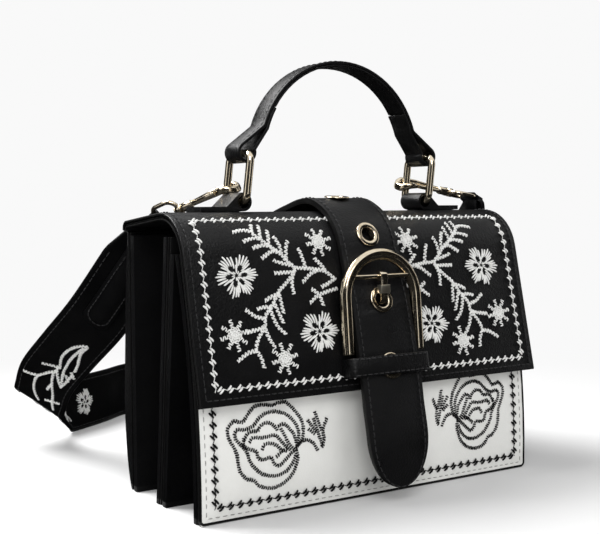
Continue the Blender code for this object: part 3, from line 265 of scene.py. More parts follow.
# Materials
def leather(name, colour, light, roughness, specular, cell, depth, edge_wear_and_highlight=0.0):
    """Grained leather: pebbled bump, a slow change of tone, and paler edges, part rubbed wear and
    part a painted highlight.
    """
    look = Wiring(bpy.data.materials.new(name))
    look.fix(Specular_IOR_Level=specular)
    where = look.add("ShaderNodeTexCoord", output="Object")
    tone = look.add("ShaderNodeTexNoise", where, Scale=28.0, Detail=4.0, Roughness=0.6)
    base = look.tint(tone, colour, light, 0.35, 0.75)
    # Convex edges, found by pointiness, turn paler: rubbed wear together with a painted highlight
    # along the rims.
    if edge_wear_and_highlight:
        corner = look.add("ShaderNodeNewGeometry", output="Pointiness")
        rub_and_highlight_mask = look.add("ShaderNodeMapRange", corner, From_Min=0.52, From_Max=0.66,
                       To_Min=0.0, To_Max=edge_wear_and_highlight)
        worn_and_highlit = look.add("ShaderNodeMix", rub_and_highlight_mask, output=2, data_type="RGBA")
        look.tree.links.new(base, worn_and_highlit.node.inputs[6])
        worn_and_highlit.node.inputs[7].default_value = (*[min(c * 4 + 0.03, 1) for c in light], 1)
        base = worn_and_highlit
    look.feed("Base Color", base)
    cells = look.add("ShaderNodeTexVoronoi", where, Scale=1 / (cell * MM), feature="SMOOTH_F1",
                     Randomness=1.0, Smoothness=0.6)
    fine = look.add("ShaderNodeTexNoise", where, Scale=1 / (cell * 0.35 * MM), Detail=3.0)
    look.relief(look.add("ShaderNodeMath", cells, fine, operation="ADD"), 0.55, depth)
    look.feed("Roughness", look.add("ShaderNodeMapRange", tone, From_Min=0.3, From_Max=0.8,
                                    To_Min=roughness - 0.06, To_Max=roughness + 0.08))
    return look.owner


def metal(name, colour, dark, roughness):
    """Plated metal, a little duller and darker in patches, with fine rubbing."""
    look = Wiring(bpy.data.materials.new(name))
    look.fix(Metallic=1.0)
    where = look.add("ShaderNodeTexCoord", output="Object")
    patch = look.add("ShaderNodeTexNoise", where, Scale=90.0, Detail=5.0, Roughness=0.65)
    look.feed("Base Color", look.tint(patch, dark, colour, 0.3, 0.55))
    look.feed("Roughness", look.add("ShaderNodeMapRange", patch, From_Min=0.3, From_Max=0.7,
                                    To_Min=roughness + 0.07, To_Max=roughness))
    look.relief(look.add("ShaderNodeTexNoise", where, Scale=2200.0, Detail=2.0), 0.05, 0.03)
    return look.owner


def thread(name, colour, shade, gloss):
    """Twisted thread: fine ply lines, soft sheen and a little soiling in random patches."""
    look = Wiring(bpy.data.materials.new(name))
    look.fix(Roughness=0.62, Sheen_Weight=gloss * 0.5, Specular_IOR_Level=gloss)
    where = look.add("ShaderNodeTexCoord", output="Object")
    tone = look.add("ShaderNodeTexNoise", where, Scale=700.0, Detail=2.0)
    look.feed("Base Color", look.tint(tone, shade, colour, 0.3, 0.6))
    ply = look.add("ShaderNodeTexWave", where, output="Fac", Scale=2400.0, Distortion=2.0)
    look.relief(ply, 0.5, 0.1)
    return look.owner


LOOKS, SLOTS = {}, {}
for look_name, slot, maker, *values in (
        ("black_leather", None, leather, (0.0022, 0.0022, 0.0024),
         (0.0042, 0.0042, 0.0045), 0.32, 0.24, 1.1, 0.34, 0.05),
        ("strap_leather", None, leather, (0.002, 0.002, 0.0022),
         (0.0038, 0.0038, 0.0041), 0.36, 0.045, 0.9, 0.16, 0.04),
        ("white_leather", None, leather, (0.68, 0.68, 0.655),
         (0.74, 0.74, 0.715), 0.5, 0.3, 0.8, 0.06),
        ("lining_leather", None, leather, (0.004, 0.004, 0.0042),
         (0.007, 0.007, 0.0074), 0.7, 0.08, 0.6, 0.1),
        ("edge_paint", "black_leather", leather, (0.0035, 0.0035, 0.0035),
         (0.006, 0.006, 0.006), 0.34, 0.16, 2.5, 0.05, 0.05),
        ("gold", None, metal, (0.8, 0.7, 0.54), (0.62, 0.51, 0.35), 0.12),
        ("pale_gold", None, metal, (0.8, 0.74, 0.62), (0.7, 0.63, 0.49), 0.28),
        ("white_thread", "white_leather", thread, (0.82, 0.82, 0.8), (0.66, 0.66, 0.64), 0.35),
        ("grey_thread", "white_leather", thread, (0.36, 0.36, 0.35), (0.22, 0.22, 0.21), 0.3),
        ("seam_thread", "black_leather", thread, (0.02, 0.02, 0.021),
         (0.011, 0.011, 0.012), 0.22),
        ("black_thread", "black_leather", thread, (0.006, 0.006, 0.0065),
         (0.0035, 0.0035, 0.0035), 0.12)):
    LOOKS[look_name] = maker(look_name, *values)
    SLOTS[look_name] = slot or look_name


# Shared shapes
def settle(item, look, body, *nodes):
    """Give a finished piece its material and body, and hide the nodes it stands for. A piece of
    the strap has no body: it stays where it lies."""
    if not item.data.materials:
        item.data.materials.append(LOOKS[look])
    if body:
        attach(item, body)
    if nodes:
        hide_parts(*nodes)
    if not body:
        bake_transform(item)
    return item


def mesh_item(name, verts, faces):
    data = bpy.data.meshes.new(name)
    data.from_pydata([tuple(v) for v in verts], [], faces)
    data.validate()
    data.update()
    data.shade_smooth()
    return placed(name, data)


def dressed(node, look, width, segments=3, edge=None):
    """Finer copy of a piece for its plain solid, its corners rounded by a width. edge picks
    the faces, by their normal, where the layers are painted. With no width it is an end strip
    of the strap, kept as it is."""
    source = frame["nodes"][node]
    shape = bmesh.new()
    shape.from_mesh(source.data)
    bmesh.ops.remove_doubles(shape, verts=shape.verts, dist=0.002 * MM)
    if width:
        bmesh.ops.dissolve_limit(shape, angle_limit=math.radians(0.4), verts=shape.verts,
                                 edges=shape.edges)
    bmesh.ops.recalc_face_normals(shape, faces=shape.faces)
    if edge:
        for face in shape.faces:
            face.material_index = int(edge(face.normal))
    item = finished(shape, node + "_dressed")
    for name in (look, "edge_paint") if edge else (look,):
        item.data.materials.append(LOOKS[name])
    item.data.shade_smooth()
    if width:
        bevel = item.modifiers.new("rounded", "BEVEL")
        bevel.width = width * MM
        bevel.segments = segments
        bevel.limit_method = "ANGLE"
        bevel.angle_limit = math.radians(40)
        bevel.use_clamp_overlap = True
        bevel.harden_normals = True
    return settle(item, look, source["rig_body"] if width else None, node)


def mm(*values):
    """Point in metres from millimetres."""
    return Vector(values) * MM


def unit(vector):
    return vector / np.linalg.norm(vector)


def fillet(before, corner, after, radius, steps):
    before, corner, after = np.array((before, corner, after), dtype=float)
    a, b = unit(before - corner), unit(after - corner)
    half = math.acos(np.clip(a @ b, -1.0, 1.0)) / 2
    centre = corner + unit(a + b) * radius / math.sin(half)
    start = corner + a * radius / math.tan(half) - centre
    end = corner + b * radius / math.tan(half) - centre
    sweep = math.pi - 2 * half
    return [centre + (start * math.sin((1 - t) * sweep) + end * math.sin(t * sweep))
            / math.sin(sweep) for t in np.linspace(0, 1, steps + 1)]


def rounded(corners, radii, steps=10, closed=False):
    """Path through corners with rounded turns; a closed one rounds them all."""
    count = len(corners)
    turns = range(count) if closed else range(1, count - 1)
    path = [] if closed else [np.array(corners[0], dtype=float)]
    for number, index in enumerate(turns):
        path += fillet(corners[index - 1], corners[index], corners[(index + 1) % count],
                       radii[number % len(radii)], steps)
    if not closed:
        path.append(np.array(corners[-1], dtype=float))
    return path


def smooth(points, steps):
    """Catmull-Rom curve through the points."""
    control = [np.array(point, dtype=float) for point in points]
    control = [2 * control[0] - control[1]] + control + [2 * control[-1] - control[-2]]
    path = []
    for index in range(1, len(control) - 2):
        a, b, c, d = control[index - 1:index + 3]
        for t in np.arange(steps) / steps:
            path.append(0.5 * (2 * b + (c - a) * t + (2 * a - 5 * b + 4 * c - d) * t ** 2
                               + (3 * b - a - 3 * c + d) * t ** 3))
    path.append(control[-2])
    return path


class Outline:
    """A path measured along its length."""

    def __init__(self, points):
        self.points = np.array(points)
        runs = np.linalg.norm(np.diff(self.points, axis=0), axis=1)
        self.lengths = np.concatenate([[0.0], np.cumsum(runs)])
        self.total = self.lengths[-1]

    def step(self, distance):
        """Number of the step that a distance falls in, and the share of it passed."""
        index = np.searchsorted(self.lengths, distance) - 1
        index = int(np.clip(index, 0, len(self.points) - 2))
        start, end = self.lengths[index:index + 2]
        return index, (distance - start) / max(end - start, 1e-9)

    def at(self, distance):
        """Point at a distance along the path, and the direction there."""
        index, share = self.step(distance)
        run = self.points[index + 1] - self.points[index]
        return self.points[index] + run * share, unit(run)


def tube(name, points, radius, cyclic=False, fine=6):
    """Round wire along points in millimetres."""
    data = bpy.data.curves.new(name, "CURVE")
    data.dimensions = "3D"
    data.bevel_depth = radius * MM
    data.bevel_resolution = fine
    data.use_fill_caps = not cyclic
    spline = data.splines.new("POLY")
    spline.points.add(len(points) - 1)
    for point, target in zip(points, spline.points):
        target.co = (*(np.array(point) * MM), 1)
    spline.use_cyclic_u = cyclic
    spline.use_smooth = True
    return placed(name, data)


def superellipse(count, power):
    """Points round a squarish unit circle."""
    points = []
    for angle in np.linspace(0, 2 * math.pi, count + 1)[:-1]:
        c, s = math.cos(angle), math.sin(angle)
        points.append((math.copysign(abs(c) ** power, c), math.copysign(abs(s) ** power, s)))
    return points


def wall(first, rows, count, cyclic=False):
    """Quads between rows of vertices, each row a closed ring."""
    faces = []
    for row in range(rows if cyclic else rows - 1):
        low, high = first + row * count, first + (row + 1) % rows * count
        faces += [(low + k, high + k, high + (k + 1) % count, low + (k + 1) % count)
                  for k in range(count)]
    return faces


def loft(name, rings, cyclic=False):
    """Skin over rings of the same count of points, in metres, with its ends closed."""
    count = len(rings[0])
    verts = [point for ring in rings for point in ring]
    faces = wall(0, len(rings), count, cyclic)
    if not cyclic:
        faces += [range(count), range(len(verts) - count, len(verts))]
    item = mesh_item(name, verts, faces)
    shape = bmesh.new()
    shape.from_mesh(item.data)
    bmesh.ops.recalc_face_normals(shape, faces=shape.faces)
    shape.to_mesh(item.data)
    shape.free()
    return item


def band(name, path, normal, widths, thick):
    """Flat rounded bar along a planar path, in millimetres; widths run across its plane."""
    line = Outline(path)
    rings = []
    for index, point in enumerate(path):
        ahead = np.array(path[min(index + 1, len(path) - 1)]) - path[max(index - 1, 0)]
        side = unit(np.cross(ahead, normal))
        wide = np.interp(line.lengths[index] / line.total, *zip(*widths))
        low, narrow = (0.6, 0.75) if index in (0, len(path) - 1) else (1.0, 1.0)
        rings.append([Vector(point + side * a * thick / 2 * low
                             + normal * b * wide / 2 * narrow) * MM
                      for a, b in superellipse(24, 0.7)])
    return loft(name, rings)


def lathe(name, profile, at, direction, steps=48):
    """Closed profile of (radius, height) in millimetres turned about a direction."""
    turn = Vector(direction).to_track_quat("Z", "Y").to_matrix()
    rings = []
    for angle in np.linspace(0, 2 * math.pi, steps + 1)[:-1]:
        c, s = math.cos(angle), math.sin(angle)
        rings.append([mm(*at) + turn @ mm(radius * c, radius * s, height)
                      for radius, height in profile])
    return loft(name, rings, cyclic=True)


def skin_of(node):
    """Search tree over a node's surface, for seating thread on it."""
    data = frame["nodes"][node].data
    return BVHTree.FromPolygons([v.co.copy() for v in data.vertices],
                                [list(p.vertices) for p in data.polygons])


# Share of a stitch's length, of its thread's radius, and of its rise off the leather
STATIONS = ((0.0, 0.5, -0.45), (0.1, 0.88, 0.0), (0.3, 1.0, 0.44), (0.5, 1.0, 0.55),
            (0.7, 1.0, 0.44), (0.9, 0.88, 0.0), (1.0, 0.5, -0.45))
STITCH_RING = superellipse(6, 1)


def stitches(name, look, body, strokes, seat, radius, sink=0.25, snap=None):
    """Thread laid in separate stitches. A stroke is two points of a surface and a share of
    the thread's radius; seat gives a point of the surface and its outward normal, and snap
    names a node whose skin draws both. Each stitch swells in the middle and dives at its
    ends."""
    tree = skin_of(snap) if snap else None
    sides = len(STITCH_RING)
    verts, faces = [], []
    for first, last, share in strokes:
        (a, normal_a), (b, normal_b) = seat(*first), seat(*last)
        normal = (normal_a + normal_b).normalized()
        if tree:
            a, b = [tree.ray_cast(point + normal * 4 * MM, -normal, 8 * MM)[0]
                    for point in (a, b)]
            if a is None or b is None:
                continue
        if (b - a).length < 0.05 * MM:
            continue
        run = (b - a).normalized()
        side = run.cross(normal).normalized()
        up = side.cross(run)
        thick = radius * share * MM
        start = len(verts)
        for where, width, height in STATIONS:
            centre = a.lerp(b, where) + up * thick * (1 - sink + height)
            verts += [centre + (side * c + up * s) * thick * width for c, s in STITCH_RING]
        faces += wall(start, len(STATIONS), sides)
        faces += [range(start, start + sides), range(len(verts) - 1, len(verts) - 1 - sides, -1)]
    return settle(mesh_item(name, verts, faces), look, body)


def zigzag(path, width, pitch, lean=0.3, slope=0.2):
    """Short stitches across a path, leaning to and fro, a little uneven as sewn ones are."""
    line = Outline(path)
    strokes = []
    count = max(2, int(line.total / pitch))
    for index in range(count + 1):
        point, run = line.at(line.total * index / count)
        across = np.array([-run[1], run[0]])
        tilt = run * (lean * (1 if index % 2 else -1) + slope) * width
        reach = across * width / 2 * UNEVEN.uniform(0.86, 1.14)
        shift = across * width * UNEVEN.uniform(-0.07, 0.07)
        strokes.append((point + shift - reach - tilt / 2, point + shift + reach + tilt / 2,
                        UNEVEN.uniform(0.92, 1.08)))
    return strokes


def running(path, pitch, length):
    """Stitches in line along a path, evenly spaced."""
    line = Outline(path)
    count = max(1, int(round(line.total / pitch)))
    step = line.total / count
    return [(line.at(step * index + (step - length) / 2)[0],
             line.at(step * index + (step + length) / 2)[0], 1.0) for index in range(count)]


def straight(start, end, steps):
    start, end = np.array((start, end))
    return [start * (1 - t) + end * t for t in np.linspace(0, 1, steps)]


def side_seams(corners, steps, pitch, length):
    """Running stitches along each straight side in turn."""
    return [stroke for start, end in zip(corners, corners[1:])
            for stroke in running(straight(start, end, steps), pitch, length)]


def three_sides(half, top, low):
    """Corners down the left side, along the foot and up the right side."""
    return [(-half, top), (-half, low), (half, low), (half, top)]


def mirrored(strokes, shift=0.0):
    return [((-a[0] - shift, a[1]), (-b[0] - shift, b[1]), share) for a, b, share in strokes]


def double_border(corners, pitch, size=1.0):
    """Slanting pairs of stitches with thin links, along the sides of a rectangle."""
    strokes = []
    for start, end in zip(corners, corners[1:]):
        start, end = np.array((start, end))
        length = np.linalg.norm(end - start)
        run = unit(end - start)
        across = np.array([-run[1], run[0]])
        count = max(1, int(round(length / pitch)))
        step = length / count / size
        for index in range(count):
            middle = start + run * length * (index + 0.5) / count

            def at(along_run, aside):
                return middle + (run * (along_run - 0.8) + across * (aside - 0.2)) * size

            strokes += [(at(0.1, -1.75), at(2.7, 0.65), 1.35),
                        (at(-0.95, -0.45), at(1.65, 1.95), 1.35),
                        (at(2.6, 0.5), at(-0.9, -0.3), 0.6),
                        (at(2.6, 0.5), at(step - 0.9, -0.3), 0.5)]
    return strokes


FLOWER_LOBES = (58, 130, 187, 258, 305, 363)


def flower(centre, radius, lobes=FLOWER_LOBES, squash=0.94):
    """Satin-stitched flower: fans of long stitches round dark hollows and a spoked heart."""
    strokes = []

    def at(angle, reach):
        return centre + np.array([math.cos(angle), math.sin(angle) * squash]) * reach * radius

    angles = [math.radians(value) for value in lobes]
    for number, middle in enumerate(angles):
        before = (middle - angles[number - 1]) % (2 * math.pi)
        after = (angles[(number + 1) % len(angles)] - middle) % (2 * math.pi)
        for index in range(6):
            offset = (index - 2.5) / 2.5
            wide = (before if offset < 0 else after) * 0.37
            outer = 1.0 - 0.19 * offset ** 2 - (0.06 if index % 2 else 0.0)
            inner = 0.50 - 0.20 * offset ** 2
            strokes.append((at(middle + offset * wide * 0.94, inner),
                            at(middle + offset * wide, outer * UNEVEN.uniform(0.97, 1.03)), 1.25))
        strokes += [(at(middle + after * 0.5 - 0.1, 0.1), at(middle + after * 0.44, 0.46), 1.1),
                    (at(middle - 0.1, 0.07), at(middle + 0.05, 0.22), 0.8)]
    return strokes


def floret(centre, radius):
    """Small star of zigzag spokes, long and short in turn, round a close-stitched middle."""
    strokes = []
    for spoke in range(16):
        angle = 0.2 + math.pi * spoke / 8
        ray = np.array([math.cos(angle), math.sin(angle)])
        reach = 0.45 if spoke % 2 else UNEVEN.uniform(0.94, 1.06)
        strokes += zigzag([centre + ray * 0.6, centre + ray * radius * reach], 2.2, 1.15)
    return strokes


# Surfaces that carry thread: each gives a point and its outward normal
def on_front(x, z):
    share = z / FRONT_HEIGHT
    y = FRONT_FOOT_Y - FRONT_SWELL * share + FRONT_LEAN * share ** 2
    slope = (-FRONT_SWELL + 2 * FRONT_LEAN * share) / FRONT_HEIGHT
    return mm(x, y, z), Vector((0, -1, slope)).normalized()


def outer_path(node, centre, across, start, end, steps=240):
    """Outline of a node met from outside in one upright plane, by angle in degrees."""
    tree = skin_of(node)
    path = []
    for angle in np.radians(np.linspace(start, end, steps + 1)):
        ray = Vector(across) * math.cos(angle) + Vector((0, 0, 1)) * math.sin(angle)
        hit = tree.ray_cast(mm(*centre) + ray * 0.4, -ray, 0.4)[0]
        if hit is not None:
            path.append((hit.dot(Vector(across)) / MM, hit.z / MM))
    return path


FLAP_FACE = Outline(outer_path("flap_leather", (-60.0, -2.0, 112.0), (0, 1, 0), 41.0, 226.2,
                               400))
# The belt's outer face from its tip up and over to its rear end: its middle line below the
# split, where the tip is round, and a line beside the grommets above it
BELT_SPLIT = 64.0
BELT_FACE = [spot for spot in outer_path("belt", (12.0, -5.0, 70.0), (0, 1, 0), 66, 200)
             if spot[1] > BELT_SPLIT]
BELT_FACE += [spot for spot in outer_path("belt", (0.5, -5.0, 70.0), (0, 1, 0), 186, 226)
              if spot[1] <= BELT_SPLIT]
BELT_FACE = Outline(BELT_FACE[::-1])


def on_flap(x, up):
    """A point of the flap's outer face, up being the distance from its free edge."""
    point, run = FLAP_FACE.at(FLAP_FACE.total - up)
    return mm(x, *point), Vector((0, run[1], -run[0]))


def on_belt(x, up):
    point, run = BELT_FACE.at(up)
    return mm(x, *point), Vector((0, -run[1], run[0]))


ARCH_X, ARCH_Z = 3.315, 190.97
HANDLE_FACE = Outline(outer_path("handle_strap", (ARCH_X, RING_Y, ARCH_Z), (1, 0, 0), 196, -16))


def on_handle(y, along_arch):
    point, run = HANDLE_FACE.at(along_arch)
    return mm(point[0], RING_Y + y, point[1]), Vector((-run[1], 0, run[0]))


def on_keeper(x, up):
    middle = KEEPER_AT + mm(x, 0, 0) + KEEPER_UP * up * MM
    hit = KEEPER_SKIN.ray_cast(middle + KEEPER_OUT * 0.03, -KEEPER_OUT, 0.06)[0]
    return (middle if hit is None else hit), KEEPER_OUT


def on_back(x, up):
    return BACK_SKIN.ray_cast(mm(x, 80.0, up), Vector((0, -1, 0)), 0.05)[:2]


KEEPER_SKIN, BACK_SKIN = skin_of("keeper"), skin_of("back_panel")
STRAP_STEPS = 12
STRAP_LINE = smooth([row[:3] for row in STRAP_ROUTE], STRAP_STEPS)
STRAP_CROSS = [unit(cross) for cross in smooth([row[3:] for row in STRAP_ROUTE], STRAP_STEPS)]
STRAP_NORMAL = []
for number, cross in enumerate(STRAP_CROSS):
    ahead = STRAP_LINE[min(number + 1, len(STRAP_LINE) - 1)] - STRAP_LINE[max(number - 1, 0)]
    STRAP_NORMAL.append(unit(np.cross(ahead, cross)))
for point, cross, square in zip(STRAP_LINE, STRAP_CROSS, STRAP_NORMAL):
    lowest = STRAP_HALF * abs(cross[2]) + STRAP_THICK / 2 * abs(square[2]) + 0.3
    point[2] = max(point[2], lowest)
STRAP = Outline(STRAP_LINE)


def strap_frame(distance):
    """Middle, crosswise direction and outward normal at a distance from the left loop."""
    index, share = STRAP.step(distance)
    return [table[index] * (1 - share) + table[index + 1] * share
            for table in (STRAP_LINE, STRAP_CROSS, STRAP_NORMAL)]


def on_strap(side, lift=0.0):
    """Surface of one face of the strap: (aside, along) to a point and its normal."""
    def seat(aside, along_strap):
        middle, cross, square = strap_frame(along_strap)
        point = middle + cross * aside + square * (STRAP_THICK / 2 + lift) * side
        return mm(*point), Vector(square) * side
    return seat


# Leather
def across_bag(normal):
    return abs(normal.x) > 0.7


def round_the_front(normal):
    return abs(normal.x) > 0.7 or abs(normal.z) > 0.7


def build_leather():
    dressed("front_panel", "white_leather", 0.35, edge=round_the_front)
    dressed("back_panel", "black_leather", 0.8, 4)
    for node in ("front_gusset", "rear_gusset"):
        dressed(node, "strap_leather", 0.45)
    for node in ("front_lining", "back_lining", "divider_front_wall", "divider_rear_wall",
                 "flap_lining"):
        dressed(node, "lining_leather", 0.35, edge=across_bag)
    dressed("flap_leather", "black_leather", 0.6, edge=across_bag)
    dressed("belt", "black_leather", 0.7, edge=across_bag)
    keeper = dressed("keeper", "black_leather", 0.4)
    for vertex in keeper.data.vertices:
        vertex.co -= KEEPER_UP * ((vertex.co - KEEPER_AT).dot(KEEPER_UP) * KEEPER_NARROWED)
    dressed("buckle_chape", "black_leather", 0.25)
    piping = tube("hinge_piping", straight((-PIPING_HALF, HINGE_Y, HINGE_Z),
                                           (PIPING_HALF, HINGE_Y, HINGE_Z), 60), PIPING_RADIUS)
    settle(piping, "black_leather", "bag")
    for side in ("left", "right"):
        dressed("tab_" + side, "black_leather", 0.9, 4)
    dressed("handle_strap", "black_leather", 0.5)
    shape_lining(dressed("handle_lining", "black_leather", 0.3))
    for node in ("front_board", "divider_board", "back_board", "flap_board"):
        materials = frame["nodes"][node].data.materials
        materials.clear()
        materials.append(LOOKS["edge_paint"])


def shape_lining(lining):
    """Thin the handle's lining against the strap and carry its ends a little further."""
    spots = []
    for vertex in lining.data.vertices:
        x, z = vertex.co.x / MM - ARCH_X, vertex.co.z / MM - ARCH_Z
        spots.append((math.hypot(x, z), math.atan2(z, x)))
    outside = max(reach for reach, turn in spots)
    first, last = min(turn for reach, turn in spots), max(turn for reach, turn in spots)
    for vertex, (reach, turn) in zip(lining.data.vertices, spots):
        reach = outside - (outside - reach) * LINING_THINNED
        turn += LINING_LONGER * (2 * (turn - first) / (last - first) - 1)
        vertex.co.x = (ARCH_X + reach * math.cos(turn)) * MM
        vertex.co.z = (ARCH_Z + reach * math.sin(turn)) * MM


def strap_shape():
    """Flat strap with plump edges and a raised line inside each, narrower at its ends."""
    half, thick = STRAP_HALF, STRAP_THICK / 2
    profile = [(-half + 3.2, thick * 0.86), (-half + 2.4, thick), (-half + 1.2, thick),
               (-half + 0.35, thick * 0.72), (-half, 0.0)]
    profile += [(a, -b) for a, b in profile[-2::-1]]
    profile += [(-a, b) for a, b in profile[::-1]]
    ends = STRAP_GAP + np.array([0, 1, 2.5, *range(5, 21, 3), *range(24, 37, 4)])
    rings = []
    for stop in np.concatenate([ends, np.linspace(44.0, STRAP.total - 44.0, 180),
                                STRAP.total - ends[::-1]]):
        middle, cross, square = strap_frame(stop)
        reach = min(stop, STRAP.total - stop) - STRAP_GAP
        share = min(reach / STRAP_END_TAPER, 1.0) ** 0.8
        share = STRAP_END_SHARE + (1 - STRAP_END_SHARE) * share
        if reach < STRAP_END_ROUND:
            share *= 0.72 + 0.28 * math.sqrt(1 - (1 - reach / STRAP_END_ROUND) ** 2)
        rings.append([mm(*(middle + cross * a * share + square * b)) for a, b in profile])
    return loft("strap_dressed", rings)


def chape_outline():
    """Stitch line of an end strip: up one side, round its far end and back."""
    inset, foot = 2.0, 6.0
    side = []
    for reach in np.linspace(foot, CHAPE_LENGTH - CHAPE_WIDTH / 2, 14):
        wide = CHAPE_NECK + (CHAPE_WIDTH - CHAPE_NECK) * min(reach / CHAPE_TAPER, 1.0)
        side.append((wide / 2 - inset, reach))
    radius = CHAPE_WIDTH / 2 - inset
    end = [(radius * math.cos(angle), CHAPE_LENGTH - CHAPE_WIDTH / 2 + radius * math.sin(angle))
           for angle in np.linspace(0, math.pi, 12)]
    return side + end + [(-a, b) for a, b in side[::-1]]


def build_strap():
    settle(strap_shape(), "strap_leather", None, "shoulder_strap")
    outline = chape_outline()
    for node in ("strap_chape_left", "strap_chape_right"):
        dressed(node, "strap_leather", None)
        stitches(node + "_seam", "seam_thread", None, running(outline, 3.4, 2.6),
                 on_strap(1, 1.9), 0.32)
        outline = [(a, STRAP.total - b) for a, b in outline]
    edges = []
    for aside in (-16.4, 16.4):
        edges += running(straight((aside, 34), (aside, STRAP.total - 34), 90), 4.2, 3.2)
    for face, label in ((1, "outer"), (-1, "inner")):
        stitches("strap_seam_" + label, "seam_thread", None, edges, on_strap(face, -0.1), 0.3)


def paths(parts, rows):
    """Paths from rows of pairs, across and along, in so many parts of a millimetre: where
    a path starts, then each step from point to point."""
    return [np.cumsum(np.reshape(row, (-1, 2)), axis=0) / parts for row in rows]


STRAP_LEAF = paths(2, [
    [6,279, -6,-13, -2,-13, 2,-15, 5,-13, 6,-8, 4,-3],
    [20,301, -6,-16, -3,-14, -2,-18, 1,-16, 2,-16], [15,217, -1,15, 3,12, 4,12, 3,13],
    [29,281, -8,-6], [26,292, -8,-7], [22,309, -10,-12, -7,-10, -3,-9],
    [22,309, 2,-10, 0,-11, 1,-12], [6,279, -8,3, -7,4, -7,4],
    [6,286, -7,10, -5,9, -6,10, -1,11, 1,13, 4,12, 7,10], [-12,314, -9,5, -10,3],
    [3,292, 4,14, 5,13, 5,14, 2,17, 4,14], [10,314, -3,14], [8,352, 10,-5, 11,-5]])
STRAP_FLOWER_AT = 95.0


def strap_motifs(first, last, repeat):
    """Leaf sprigs and five-petalled flowers in turn along one face of the strap."""
    strokes = []
    start = STRAP_LEAF[0][-1][1]
    for place in np.arange(first, last - 10, repeat):
        if place + 76 < last:
            for path in STRAP_LEAF:
                strokes += zigzag(smooth([(a, b - start + place) for a, b in path], 5), 2.0, 1.15)
        if place + STRAP_FLOWER_AT < last - 12:
            strokes += flower((0.0, place + STRAP_FLOWER_AT), 10.5, (20, 92, 164, 236, 308), 1.0)
    return strokes


def build_strap_embroidery():
    for side, label, first, repeat in ((1, "outer", 107.0, 116.0), (-1, "inner", 148.5, 158.0)):
        stitches("strap_embroidery_" + label, "white_thread", None,
                 strap_motifs(first, 640.0, repeat), on_strap(side, -0.05), 0.42)


# Thread on the flap, front panel, belt, keeper and handle
SPRIG = paths(10, [
    [-707,950, -13,-52, 36,-40, 49,-42, 59,-41, 32,-40, 44,-38, -10,-35, -53,-49, -51,-43,
     -38,-55, -27,-34, -35,-38, -12,-56, -39,-48, -25,-47, -3,-25], [-726,387, 17,-58, 31,-57],
    [-500,694, 77,-6, 68,-9, 52,-12, 61,-45], [-720,903, -53,14, -61,-11],
    [-682,862, -51,1, -55,-16], [-635,817, -50,6, -54,-14], [-582,778, -43,11, -68,-36],
    [-511,708, -58,12, -53,18], [-502,672, -60,-1, -63,-1], [-680,869, 7,33, 9,42],
    [-639,833, 9,38, 4,38], [-569,772, -6,49, -22,49], [-543,745, 6,48, 18,47],
    [-426,695, -14,56, -18,47], [-302,670, -25,38, -32,33], [-352,672, -45,-14, -57,-44],
    [-245,623, -45,-23, -46,-19], [-515,656, -11,-51, 5,-51], [-616,558, -46,-14, -41,-20],
    [-615,567, 7,-55, 9,-58], [-652,512, 21,-56, 21,-55], [-680,475, 28,-81, 47,-53],
    [-678,485, -36,5, -44,-7], [-719,430, -52,13, -57,39], [-737,384, -52,-12, -57,-8],
    [-793,267, -55,-11, -61,-35], [-793,267, 22,-39, 12,-52],
    [-240,568, -74,-16, -57,-17, -52,-36], [-369,548, -34,25], [-356,531, 15,-50]])
FLAP_BORDER = [(-105.0, 99.6), (-105.6, 8.4), (105.6, 8.4), (105.0, 99.6), (-105.0, 99.6)]
PEONY = paths(10, [
    [-919,522, -31,-24, -10,-36, 14,-43, 24,-40, 15,-43, 3,-43, 15,-44, 36,-38, 43,-15, 32,-34,
     60,-20, 55,3, 51,22, 40,32, 23,45, 13,42, -10,45, 36,38, 13,42, -3,49, -26,50, -42,48,
     -37,28, -51,0, -22,-9, -76,10, -44,-9, -41,-38, -28,-31, -52,13],
    [-540,349, 13,42, -3,43, -21,41, -37,37, -54,25, -61,7, -55,-17, -46,-42, -50,-17, -47,6,
     -17,-22, 9,-33, 35,-37, 26,-36, 9,-34, 26,-41, 42,-39, 54,-24, 61,-4, 50,19, 35,34, 18,36],
    [-861,418, 28,36, 54,0, 18,26, 44,9, 37,-18, 18,-26],
    [-652,463, 34,8, 37,-31, 27,-36, 9,-40], [-636,447, 25,-46, 26,-46, 33,-33],
    [-830,400, 17,21, 48,-6, 44,0, 44,4, 27,-23, 32,-37, 32,-28],
    [-756,353, 11,22, 44,4, 38,-19, 27,-27, 28,-4], [-670,304, 28,20, 34,15],
    [-866,423, -2,-37, 36,-23, 37,-14, 15,-40, 32,-11, 44,6, 16,-31, 27,-20, 34,17, 35,28, 28,21],
    [-546,340, 47,28, 51,-11, 39,-49], [-380,319, 16,37, -7,50, 28,62],
    [-379,329, -21,66, -27,83], [-381,412, -36,101], [-416,411, -49,61], [-426,398, -36,26]])
FRONT_TOP = 128.0
FRONT_BORDER = three_sides(104.0, FRONT_TOP, 8.6)


